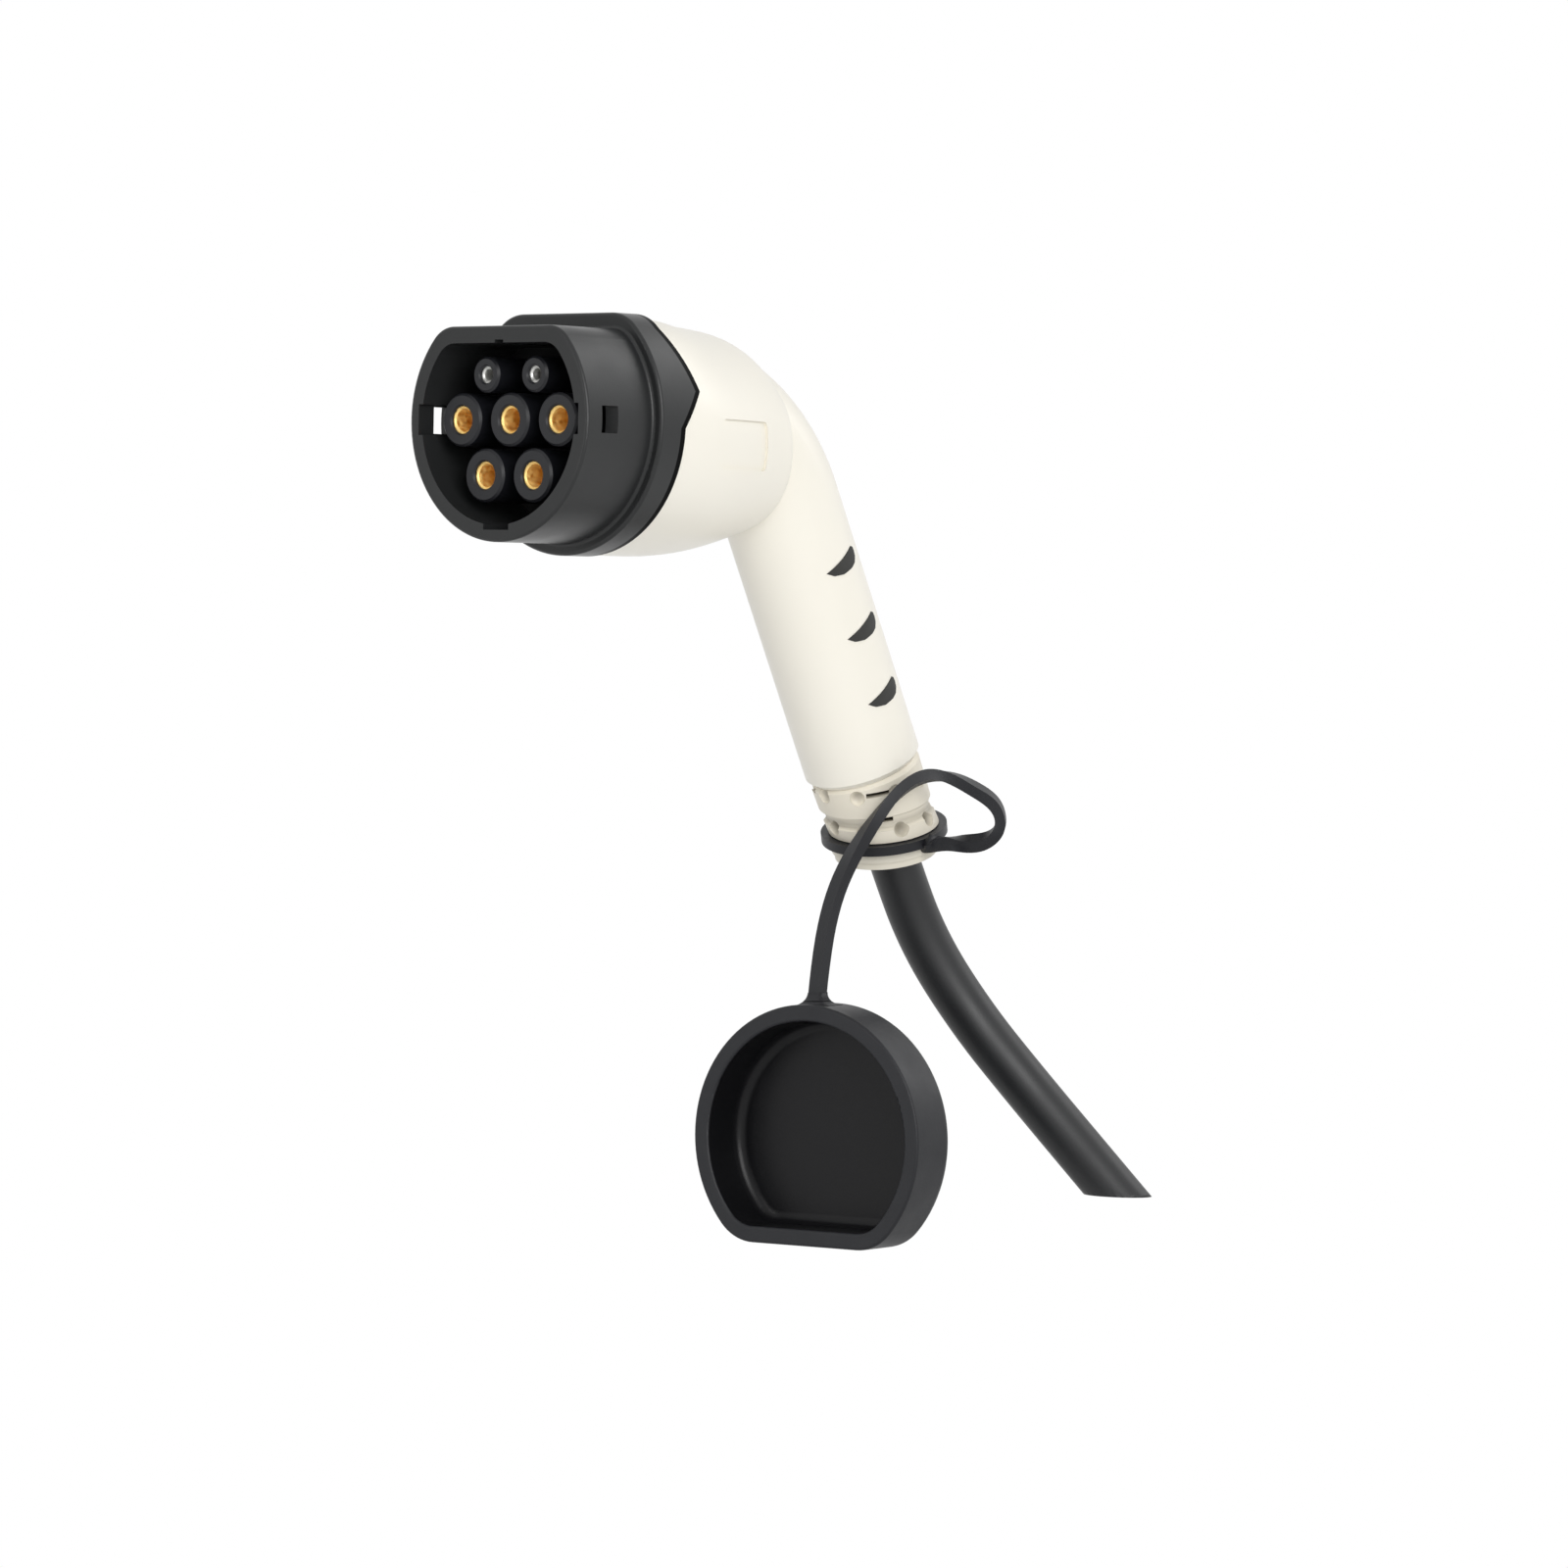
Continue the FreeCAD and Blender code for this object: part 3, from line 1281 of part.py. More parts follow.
# Middle line of the strap, each point as a share of the way from the centre of its ring to the top
# of the cup, an offset in handle radii, the direction of its width and the share of the width
ring_up = ring_frame.Rotation.multVec(UP)
leaving = FreeCAD.Rotation(UP, number(size("strap_leaves_at"))).multVec(FreeCAD.Vector(1, 0, 0))
strap_way = ring_frame.Rotation.multVec(leaving)
cup_top = cup_place + UP * number(cup_radius + cup_wall)
STRAP = [
    (0.0, strap_way * ((ring_inner + ring_outer) / 2 / handle_radius), -ring_up, 0.4),
    (0.0, strap_way * ((ring_outer + number(size("strap_straight"))) / handle_radius), -ring_up, 0.66),
    (0, (-0.0431, -1.7538, -0.1538), (0.45, 0.1, -0.88), 0.72),
    (0, (0.0738, -2.1292, -0.1046), (0.6, 0.4, -0.7), 0.76),
    (0, (0.2215, -2.3631, 0.1385), (0.78, 0.6, 0.1), 0.85),
    (0, (0.1908, -2.3138, 0.4646), (0.72, 0.6, 0.3), 0.95),
    (0, (0.0, -2.0308, 0.7477), (0.66, 0.6, 0.3), 1.0),
    (0, (-0.2585, -1.6985, 0.9415), (0.6, 0.62, 0.1), 1.0),
    (0, (-0.5354, -1.4031, 0.9785), (0.55, 0.72, -0.2), 0.95),
    (0.1, (-0.5804, -1.039, 1.0317), (0.5, 0.8, -0.4), 0.9),
    (0.25, (-0.4665, -0.6712, 0.9962), (0.4, 0.88, -0.3), 0.85),
    (0.4, (-0.3525, -0.3404, 0.856), (0.2, 0.97, -0.1), 0.82),
    (0.55, (-0.2324, -0.0958, 0.6543), (0.1, 0.99, 0.0), 0.8),
    (0.7, (-0.0876, 0.0319, 0.348), (0.1, 0.99, 0.0), 0.8),
    (0.85, (0.1248, 0.092, 0.054), (0.1, 0.99, 0.0), 0.8),
    (1.0, (0.4295, 0.1397, -0.1354), (0.1, 0.99, 0.0), 0.9),
]


def strap_solid():
    """Rectangular sections set square to the middle line and lofted smoothly."""
    middles = []
    for way, offset, _, _ in STRAP:
        on_line = ring_frame.Base + (cup_top - ring_frame.Base) * way
        middles.append(on_line + FreeCAD.Vector(*offset) * handle_radius)
    line = Part.BSplineCurve()
    line.interpolate(middles)
    half_width = number(size("strap_width")) / 2
    half_thick = number(size("strap_thickness")) / 2
    sections = []
    for middle, (_, _, width_way, share) in zip(middles, STRAP):
        along = FreeCAD.Vector(*line.tangent(line.parameter(middle))[0])
        thick_way = along.cross(FreeCAD.Vector(*width_way)).normalize()
        wide_way = thick_way.cross(along).normalize()
        corners = []
        for wide, thick in ((-1, -1), (1, -1), (1, 1), (-1, 1)):
            corners.append(middle + wide_way * half_width * share * wide + thick_way * half_thick * thick)
        sections.append(Part.makePolygon(corners + corners[:1]))
    return Part.makeLoft(sections, True, False)


strap = fixed("Strap", strap_solid())
moulding = strap_ring.Shape.copy().fuse([strap.Shape.copy(), cup.Shape.copy()])
protective_cap = fixed("protective_cap", moulding)
subparts.append(protective_cap)


# Every object of the document is proved before the parts are written

for item in doc.Objects:
    faults = [state for state in item.State if state in ("Invalid", "Error")]
    if faults:
        raise RuntimeError(f"{item.Label}: {faults}")
for item in subparts:
    shape = item.Shape
    if shape.isNull() or not shape.isValid() or shape.Volume <= 0:
        raise RuntimeError(f"{item.Label} has no sound shape")
    if len(shape.Solids) != 1:
        raise RuntimeError(f"{item.Label} has {len(shape.Solids)} solids")
    shape.exportStep(f"parts/{item.Label}.step")
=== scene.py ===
import math

import bmesh
import bpy
from mathutils import Matrix, Vector


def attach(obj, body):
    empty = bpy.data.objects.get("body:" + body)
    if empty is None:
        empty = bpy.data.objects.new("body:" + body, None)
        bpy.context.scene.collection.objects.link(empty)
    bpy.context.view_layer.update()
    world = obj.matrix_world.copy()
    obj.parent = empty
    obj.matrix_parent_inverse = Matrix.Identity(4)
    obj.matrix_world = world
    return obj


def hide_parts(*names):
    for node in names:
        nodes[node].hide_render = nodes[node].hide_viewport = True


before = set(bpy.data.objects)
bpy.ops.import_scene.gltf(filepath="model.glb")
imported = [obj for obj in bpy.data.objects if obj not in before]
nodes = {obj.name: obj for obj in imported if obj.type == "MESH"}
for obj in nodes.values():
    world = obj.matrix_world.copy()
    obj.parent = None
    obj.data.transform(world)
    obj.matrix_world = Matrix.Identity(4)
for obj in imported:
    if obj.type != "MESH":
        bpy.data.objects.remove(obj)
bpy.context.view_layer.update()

# Camera
# A long lens at the height of the nose, looking at the open face and the near flank.
# Its place and lens were found from the contact pattern, whose sizes are standard.
CAMERA_TURN = math.radians(-48.53)
CAMERA_RISE = math.radians(1.47)
CAMERA_ROLL = math.radians(1.08)
CAMERA_DISTANCE = 1.7
CAMERA_ASIDE = 0.07389
CAMERA_DOWN = -0.09414
LENS = 151.33

back_way = Vector((
    math.sin(CAMERA_TURN) * math.cos(CAMERA_RISE),
    -math.cos(CAMERA_TURN) * math.cos(CAMERA_RISE),
    math.sin(CAMERA_RISE),
))
level = Vector((math.cos(CAMERA_TURN), math.sin(CAMERA_TURN), 0.0))
upright = back_way.cross(level)
right_way = level * math.cos(CAMERA_ROLL) + upright * math.sin(CAMERA_ROLL)
up_way = upright * math.cos(CAMERA_ROLL) - level * math.sin(CAMERA_ROLL)
camera = bpy.data.objects.new("camera", bpy.data.cameras.new("camera"))
camera.data.sensor_width = 36.0
camera.data.lens = LENS
camera.data.clip_end = 100.0
turned = Matrix((right_way, up_way, back_way)).transposed().to_4x4()
place = back_way * CAMERA_DISTANCE + right_way * CAMERA_ASIDE + up_way * CAMERA_DOWN
camera.matrix_world = Matrix.Translation(place) @ turned
bpy.context.scene.collection.objects.link(camera)
bpy.context.scene.camera = camera
bpy.context.scene.view_settings.view_transform = "Standard"


# Nose shroud
# Glass-filled polyamide, injection moulded in a spark-eroded mould, with a thin line of painted
# shade along the gap between its flange and the handle housing.
def linear(hex_code):
    """A colour written as sRGB hex, turned to the linear values of the shader."""
    channels = [int(hex_code[index:index + 2], 16) / 255 for index in (1, 3, 5)]
    straight = [c / 12.92 if c <= 0.04045 else ((c + 0.055) / 1.055) ** 2.4 for c in channels]
    return (*straight, 1.0)


def new_finish(name):
    """A material ready for nodes."""
    material = bpy.data.materials.new(name)
    material.use_nodes = True
    return material


def shader_of(material):
    """The Principled shader of a finish."""
    return material.node_tree.nodes["Principled BSDF"]


def add_node(tree, kind, settings=None, links=None):
    """Adds one node: plain settings, values for its inputs, and links into its inputs."""
    node = tree.nodes.new(kind)
    for key, value in (settings or {}).items():
        if isinstance(key, int) or key in node.inputs.keys():
            node.inputs[key].default_value = value
        else:
            setattr(node, key, value)
    for key, source in (links or {}).items():
        tree.links.new(source, node.inputs[key])
    return node


def source_of(socket):
    """The output that feeds a socket."""
    return socket.links[0].from_socket


SMOOTHER_SPOTS = -0.04
ROUGHER_SPOTS = 0.05


# Real mould grain is finer than a render shows, so the grain is drawn a few times coarser
def moulded(name, colour, deeper, roughness, grain_mm, depth_mm, blotch_mm=14.0):
    """A moulded plastic or rubber: fine mould grain in relief, faint drifts in colour and gloss."""
    material = new_finish(name)
    tree = material.node_tree
    shader = shader_of(material)
    place = add_node(tree, "ShaderNodeTexCoord")
    grain = add_node(tree, "ShaderNodeTexNoise",
                     {"Scale": 1000 / grain_mm, "Detail": 3.0, "Roughness": 0.6},
                     {"Vector": place.outputs["Object"]})
    drift = add_node(tree, "ShaderNodeTexNoise",
                     {"Scale": 1000 / blotch_mm, "Detail": 4.0, "Roughness": 0.55},
                     {"Vector": place.outputs["Object"]})
    tone = add_node(tree, "ShaderNodeMix",
                    {"data_type": "RGBA", 6: linear(colour), 7: linear(deeper)},
                    {0: drift.outputs["Fac"]})
    tree.links.new(tone.outputs[2], shader.inputs["Base Color"])
    gloss = add_node(tree, "ShaderNodeMapRange",
                     {"From Min": 0.3, "From Max": 0.7,
                      "To Min": roughness + SMOOTHER_SPOTS, "To Max": roughness + ROUGHER_SPOTS},
                     {"Value": drift.outputs["Fac"]})
    tree.links.new(gloss.outputs["Result"], shader.inputs["Roughness"])
    relief = add_node(tree, "ShaderNodeBump", {"Strength": 1.0, "Distance": depth_mm / 1000},
                      {"Height": grain.outputs["Fac"]})
    tree.links.new(relief.outputs["Normal"], shader.inputs["Normal"])
    return material


def dress(piece, material):
    """Gives every face of a piece or node one material."""
    piece.data.materials.clear()
    piece.data.materials.append(material)


# The mould grain breaks the reflections into a soft satin; a matt black line of painted shade runs
# along the rear edge of the flange and of the pointed tab on each flank, in the gap to the housing
SEAM_SHADE_BLACK = "#060606"
SEAM_SHADE_WIDTH = 0.0016
SEAM_SHADE_BLEND = 0.0002
SHROUD_SHINE = 0.32
SEAM_SHADE_SHINE = 0.04
FLANGE_REAR = 0.034
TAB_TIP = 0.0402
TAB_TOP = 0.0245
TAB_PEAK = 0.0083
TAB_FOOT = -0.0015
shroud_satin = moulded("spark_eroded_polyamide", "#282929", "#222324", roughness=0.34, grain_mm=0.35,
                       depth_mm=0.018)
tree = shroud_satin.node_tree
shader = shader_of(shroud_satin)
place = add_node(tree, "ShaderNodeTexCoord")
along = add_node(tree, "ShaderNodeSeparateXYZ", links={"Vector": place.outputs["Object"]})
upper_edge = add_node(tree, "ShaderNodeMapRange",
                      {"From Min": TAB_TOP, "From Max": TAB_PEAK, "To Min": FLANGE_REAR, "To Max": TAB_TIP},
                      {"Value": along.outputs["Z"]})
lower_edge = add_node(tree, "ShaderNodeMapRange",
                      {"From Min": TAB_FOOT, "From Max": TAB_PEAK, "To Min": FLANGE_REAR, "To Max": TAB_TIP},
                      {"Value": along.outputs["Z"]})
rear_edge = add_node(tree, "ShaderNodeMath", {"operation": "MINIMUM"},
                     {0: upper_edge.outputs["Result"], 1: lower_edge.outputs["Result"]})
past_edge = add_node(tree, "ShaderNodeMath", {"operation": "SUBTRACT"},
                     {0: along.outputs["X"], 1: rear_edge.outputs["Value"]})
# Painted shade: a black, matt line where the gap between flange and housing lies in shade
in_seam_shade = add_node(tree, "ShaderNodeMapRange",
                     {"From Min": -SEAM_SHADE_WIDTH - SEAM_SHADE_BLEND, "From Max": -SEAM_SHADE_WIDTH},
                     {"Value": past_edge.outputs["Value"]})
painted_shade_mix = add_node(tree, "ShaderNodeMix", {"data_type": "RGBA", 7: linear(SEAM_SHADE_BLACK)},
                    {0: in_seam_shade.outputs["Result"], 6: source_of(shader.inputs["Base Color"])})
tree.links.new(painted_shade_mix.outputs[2], shader.inputs["Base Color"])
shine = add_node(tree, "ShaderNodeMapRange", {"To Min": SHROUD_SHINE, "To Max": SEAM_SHADE_SHINE},
                 {"Value": in_seam_shade.outputs["Result"]})
tree.links.new(shine.outputs["Result"], shader.inputs["Specular IOR Level"])
dress(nodes["nose_shroud"], shroud_satin)


# Contact carrier and retainer
# Black polyamide blocks, moulded and screwed together behind the contacts. The fine matt face
# of the mould leaves them darker than the shroud round them.
carrier_black = moulded("matt_black_polyamide", "#0b0b0c", "#070708", roughness=0.6, grain_mm=0.4,
                        depth_mm=0.02)
shader_of(carrier_black).inputs["Specular IOR Level"].default_value = 0.2
for name in ("contact_carrier", "contact_retainer"):
    dress(nodes[name], carrier_black)


# Contact sleeves
# Polybutylene terephthalate tubes, moulded and lightly polished, which keep fingers off the
# contacts. The polish gives the ends a grey shine against the black block.
CONTACT_NAMES = ("pe", "n", "l1", "l3", "l2", "cp", "pp")
sleeve_polish = moulded("polished_polyester_tube", "#191a1e", "#141519", roughness=0.36, grain_mm=0.6,
                        depth_mm=0.006)
shader_of(sleeve_polish).inputs["Specular IOR Level"].default_value = 0.35
for name in CONTACT_NAMES:
    dress(nodes["sleeve_" + name], sleeve_polish)


# Contacts
# Turned brass sockets; the five large ones are gilded, the two small ones silver plated. The
# lathe leaves fine rings round the axis of each, which stretch the highlights across.
RING_SPACING_MM = 0.785  # a few times the real feed of the lathe, so that the rings show
RING_DEPTH_MM = 0.008
WEAR_MM = 1.2
RUBBED_BRIGHT = -0.05
RUBBED_DULL = 0.08
BAND_RADIANS = 20  # the phase of a wave's straight bands for each unit of its scale and of length


def turned_metal(name, colour, roughness, film):
    """A turned and plated metal: rings across its axis, and a dull film of grease in patches."""
    material = new_finish(name)
    tree = material.node_tree
    shader = shader_of(material)
    shader.inputs["Base Color"].default_value = linear(colour)
    place = add_node(tree, "ShaderNodeTexCoord")
    rings = add_node(tree, "ShaderNodeTexWave",
                     {"wave_type": "BANDS", "bands_direction": "X", "Distortion": 0.4,
                      "Scale": 2 * math.pi / BAND_RADIANS * 1000 / RING_SPACING_MM},
                     {"Vector": place.outputs["Object"]})
    wear = add_node(tree, "ShaderNodeTexNoise", {"Scale": 1000 / WEAR_MM, "Detail": 4.0},
                    {"Vector": place.outputs["Object"]})
    bare = add_node(tree, "ShaderNodeMapRange",
                    {"From Min": 0.35, "From Max": 0.65, "To Min": 1.0, "To Max": 1.0 - film},
                    {"Value": wear.outputs["Fac"]})
    tree.links.new(bare.outputs["Result"], shader.inputs["Metallic"])
    gloss = add_node(tree, "ShaderNodeMapRange",
                     {"To Min": roughness + RUBBED_BRIGHT, "To Max": roughness + RUBBED_DULL},
                     {"Value": wear.outputs["Fac"]})
    tree.links.new(gloss.outputs["Result"], shader.inputs["Roughness"])
    relief = add_node(tree, "ShaderNodeBump", {"Strength": 0.5, "Distance": RING_DEPTH_MM / 1000},
                      {"Height": rings.outputs["Fac"]})
    tree.links.new(relief.outputs["Normal"], shader.inputs["Normal"])
    return material


gilded = turned_metal("gilded_turned_brass", "#ffdb8a", roughness=0.45, film=1.0)
silvered = turned_metal("silvered_turned_brass", "#d6d6d2", roughness=0.34, film=0.6)
for name in CONTACT_NAMES:
    dress(nodes["contact_" + name], silvered if name in ("cp", "pp") else gilded)


# Screws
# Pan-head steel screws: three through the retainer, two across the cable clamp. Their zinc
# plating is pale grey, half bright, with a few duller patches.
zinc = turned_metal("zinc_plated_steel", "#b8bcc0", roughness=0.35, film=0.2)
for name in ("retainer_screw_lower", "retainer_screw_right", "retainer_screw_left", "clamp_screw_left",
             "clamp_screw_right"):
    dress(nodes[name], zinc)


# Seals
# Moulded nitrile rubber rings, one pressed round the spigot of the nose and one round the
# cable in the gland. Matt, with a bloom of talc.
nitrile = moulded("nitrile_rubber", "#1c1c1d", "#262627", roughness=0.72, grain_mm=0.5, depth_mm=0.03,
                  blotch_mm=4.0)
for name in ("front_seal", "cable_seal"):
    dress(nodes[name], nitrile)


# Handle housing
# Ivory polycarbonate blend, moulded in a polished mould in one piece: smooth, half glossy, with
# the slight waviness of a thick wall that shrinks as it cools.
ivory = moulded("polished_ivory_polycarbonate", "#f1ede2", "#ece8dc", roughness=0.34, grain_mm=9.0,
                depth_mm=0.008, blotch_mm=60.0)
shader = shader_of(ivory)
shader.inputs["IOR"].default_value = 1.5
shader.inputs["Coat Weight"].default_value = 0.15
shader.inputs["Coat Roughness"].default_value = 0.25
dress(nodes["handle_housing"], ivory)


# Grip inserts
# Soft thermoplastic elastomer, moulded into leaf-shaped fields of both flanks. Its open grain
# takes the shine away.
elastomer = moulded("grained_elastomer", "#2a2a27", "#242422", roughness=0.7, grain_mm=0.5,
                    depth_mm=0.05, blotch_mm=5.0)
for height_name in ("lower", "middle", "upper"):
    for side in ("left", "right"):
        dress(nodes[f"grip_insert_{height_name}_{side}"], elastomer)


# Strain relief neck
# Softer ivory elastomer, plugged into the foot of the handle and slit so that it bends with the
# cable. A little darker and duller than the housing, with painted shade deep in its slits and dimples.
NECK_FOOT = (0.14710, 0.0, -0.09029)
NECK_AXIS = (0.4586, 0.0, -0.8886)
UNSHADED_FROM = 0.0148
SHADED_BELOW = 0.0128
DEEP_SHADE_COLOUR = "#5b5341"
neck_skin = moulded("ivory_elastomer", "#e8e2d3", "#e1dac9", roughness=0.42, grain_mm=0.8,
                    depth_mm=0.02, blotch_mm=12.0)
tree = neck_skin.node_tree
shader = shader_of(neck_skin)
# Painted shade darkens the skin where it lies deep, measured from the axis of the neck
place = add_node(tree, "ShaderNodeTexCoord")
from_foot = add_node(tree, "ShaderNodeVectorMath", {"operation": "SUBTRACT", 1: NECK_FOOT},
                     {0: place.outputs["Object"]})
aside = add_node(tree, "ShaderNodeVectorMath", {"operation": "CROSS_PRODUCT", 1: NECK_AXIS},
                 {0: from_foot.outputs["Vector"]})
from_axis = add_node(tree, "ShaderNodeVectorMath", {"operation": "LENGTH"}, {0: aside.outputs["Vector"]})
deep_shade_mask = add_node(tree, "ShaderNodeMapRange", {"From Min": UNSHADED_FROM, "From Max": SHADED_BELOW},
                  {"Value": from_axis.outputs["Value"]})
shaded_skin = add_node(tree, "ShaderNodeMix", {"data_type": "RGBA", 7: linear(DEEP_SHADE_COLOUR)},
                  {0: deep_shade_mask.outputs["Result"], 6: source_of(shader.inputs["Base Color"])})
tree.links.new(shaded_skin.outputs[2], shader.inputs["Base Color"])
dress(nodes["strain_relief"], neck_skin)


# Gland cap
# Ivory polyamide collar, moulded, that closes the neck round the cable and holds its seal.
# Greyer than the housing, with a fine grain that keeps it half glossy.
gland_ivory = moulded("ivory_polyamide", "#ddd8ca", "#d6d0c0", roughness=0.36, grain_mm=0.6,
                      depth_mm=0.01)
dress(nodes["gland_cap"], gland_ivory)


# Cable clamp
# Two half rings of black polyamide, moulded, which the screws draw together on the jacket, so
# that a pull on the cable stays off the contacts. Dark grey, with a soft shine.
clamp_black = moulded("clamp_polyamide", "#2a2a2b", "#232324", roughness=0.5, grain_mm=0.5,
                      depth_mm=0.02)
for name in ("cable_clamp_front", "cable_clamp_rear"):
    dress(nodes[name], clamp_black)


# Cores
# Stranded copper in coloured insulation, one colour for each pole; the earth core has a yellow
# stripe on green. Smooth and shiny from the extruder.
CORE_COLOURS = {
    "pe": ("#4f8f3a", "#458232"),
    "n": ("#2f63b0", "#2958a2"),
    "l1": ("#6b4424", "#5f3b1e"),
    "l2": ("#1d1d1f", "#161618"),
    "l3": ("#8b8c8e", "#7f8082"),
    "cp": ("#d9772b", "#c96c24"),
}
STRIPE_YELLOW = "#e6c52e"
STRIPE_SPACING_MM = 50.3  # drawn as broad slanting bands, wider than the real stripes
SLANT_RADIANS = 10  # as BAND_RADIANS, for slanting bands
for name, (colour, deeper) in CORE_COLOURS.items():
    insulation = moulded(f"insulation_{name}", colour, deeper, roughness=0.34, grain_mm=1.5,
                         depth_mm=0.004, blotch_mm=8.0)
    if name == "pe":
        tree = insulation.node_tree
        shader = shader_of(insulation)
        place = add_node(tree, "ShaderNodeTexCoord")
        bands = add_node(tree, "ShaderNodeTexWave",
                         {"bands_direction": "DIAGONAL",
                          "Scale": 2 * math.pi / SLANT_RADIANS * 1000 / STRIPE_SPACING_MM},
                         {"Vector": place.outputs["Object"]})
        stripe = add_node(tree, "ShaderNodeMapRange", {"From Min": 0.55, "From Max": 0.6},
                          {"Value": bands.outputs["Fac"]})
        striped = add_node(tree, "ShaderNodeMix", {"data_type": "RGBA", 7: linear(STRIPE_YELLOW)},
                           {0: stripe.outputs["Result"], 6: source_of(shader.inputs["Base Color"])})
        tree.links.new(striped.outputs[2], shader.inputs["Base Color"])
    dress(nodes["wire_" + name], insulation)


# Coding resistor
# A film resistor between the earth and proximity crimps, dipped in a pale blue lacquer, which
# dries smooth and shiny.
lacquer = moulded("resistor_lacquer", "#7fa8c8", "#7199b8", roughness=0.25, grain_mm=0.6,
                  depth_mm=0.004, blotch_mm=2.0)
dress(nodes["coding_resistor"], lacquer)


# Charging cable
# Seven-core cable in a black polyurethane jacket. It leaves the gland, hangs back and down and
# ends at a level cut. The extruder leaves the jacket smooth, with a dull, even shine.
# Control points of its middle line, those of the solid's route, from inside the neck to past the cut
ROUTE = [
    (0.14435, 0.0, -0.08496),
    (0.1614, 0.0, -0.1179),
    (0.1713, -0.0026, -0.1395),
    (0.1809, -0.0125, -0.1603),
    (0.1886, -0.0262, -0.1786),
    (0.1943, -0.0415, -0.1960),
    (0.1986, -0.0570, -0.2124),
]
CABLE_RADIUS = 0.007
CUT_LEVEL = -0.2074
DOUBLES = 1e-6


def route_line(name):
    """The route as one smooth open spline."""
    curve = bpy.data.curves.new(name, "CURVE")
    curve.dimensions = "3D"
    curve.resolution_u = 24
    spline = curve.splines.new("NURBS")
    spline.points.add(len(ROUTE) - 1)
    for point, at in zip(spline.points, ROUTE):
        point.co = (*at, 1.0)
    spline.order_u = 3
    spline.use_endpoint_u = True
    return curve


def mesh_of(curve):
    """A curve made a mesh, where it lies."""
    guide = bpy.data.objects.new(curve.name, curve)
    bpy.context.scene.collection.objects.link(guide)
    bpy.context.view_layer.update()
    mesh = bpy.data.meshes.new_from_object(guide)
    bpy.data.objects.remove(guide)
    return mesh


def cut_route():
    """Points read from the spline, ended where it meets the level of the cut."""
    points = [vertex.co.copy() for vertex in mesh_of(route_line("cable_line")).vertices]
    kept = [point for point in points if point.z > CUT_LEVEL]
    after = points[len(kept)]
    share = (kept[-1].z - CUT_LEVEL) / (kept[-1].z - after.z)
    return kept + [kept[-1].lerp(after, share)]


def jacket_mesh():
    """The jacket: the spline with a round bevel, cut level at its end and closed."""
    curve = route_line("jacket_line")
    curve.bevel_depth = CABLE_RADIUS
    curve.bevel_resolution = 14
    curve.use_fill_caps = True
    mesh = mesh_of(curve)
    form = bmesh.new()
    form.from_mesh(mesh)
    bmesh.ops.remove_doubles(form, verts=form.verts, dist=DOUBLES)
    everything = form.verts[:] + form.edges[:] + form.faces[:]
    cut = bmesh.ops.bisect_plane(form, geom=everything, plane_co=(0, 0, CUT_LEVEL), plane_no=(0, 0, -1),
                                 clear_outer=True)
    rim = [item for item in cut["geom_cut"] if isinstance(item, bmesh.types.BMEdge)]
    bmesh.ops.contextual_create(form, geom=rim)
    bmesh.ops.recalc_face_normals(form, faces=form.faces)
    for face in form.faces:
        face.smooth = len(face.verts) <= 4
    form.to_mesh(mesh)
    form.free()
    return mesh


cable = bpy.data.objects.new("cable_jacket", jacket_mesh())
bpy.context.scene.collection.objects.link(cable)
jacket = moulded("extruded_polyurethane", "#17181a", "#131416", roughness=0.45, grain_mm=0.8,
                 depth_mm=0.012, blotch_mm=20.0)
dress(cable, jacket)
cable_path = cut_route()
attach(cable, "connector")
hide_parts("charging_cable")


# Protective cap
# Rubber moulded in one piece: a ring that turns in the groove of the neck, a flat strap and the
# cup that covers the nose. Matt and faintly blue, with a fine bloom on its faces.
RIM_CENTRE = (0.11264, -0.01117, -0.19085)
CUP_AXIS = (0.9923, 0.1236, 0.0)
HOLLOW_RADIUS = 0.0323
HOLLOW_FROM = 0.0006
HOLLOW_TO = 0.0155
HOLLOW_FLAT = 0.0256
HOLLOW_SHADE_BLACK = "#121214"
OUTER_SHINE = 0.34
HOLLOW_SHINE = 0.2
HOLLOW_SMOOTHER = -0.14
cap_rubber = moulded("moulded_cap_rubber", "#1a1b1f", "#15161a", roughness=0.46, grain_mm=0.5,
                     depth_mm=0.03, blotch_mm=10.0)
tree = cap_rubber.node_tree
shader = shader_of(cap_rubber)
# The core pin of the mould is polished, so the hollow is smooth; its near black colour is painted shade
place = add_node(tree, "ShaderNodeTexCoord")
from_rim = add_node(tree, "ShaderNodeVectorMath", {"operation": "SUBTRACT", 1: RIM_CENTRE},
                    {0: place.outputs["Object"]})
depth = add_node(tree, "ShaderNodeVectorMath", {"operation": "DOT_PRODUCT", 1: CUP_AXIS},
                 {0: from_rim.outputs["Vector"]})
aside = add_node(tree, "ShaderNodeVectorMath", {"operation": "CROSS_PRODUCT", 1: CUP_AXIS},
                 {0: from_rim.outputs["Vector"]})
radius = add_node(tree, "ShaderNodeVectorMath", {"operation": "LENGTH"}, {0: aside.outputs["Vector"]})
height = add_node(tree, "ShaderNodeSeparateXYZ", links={"Vector": from_rim.outputs["Vector"]})
hollow = add_node(tree, "ShaderNodeMath", {"operation": "LESS_THAN", 1: HOLLOW_RADIUS},
                  {0: radius.outputs["Value"]})
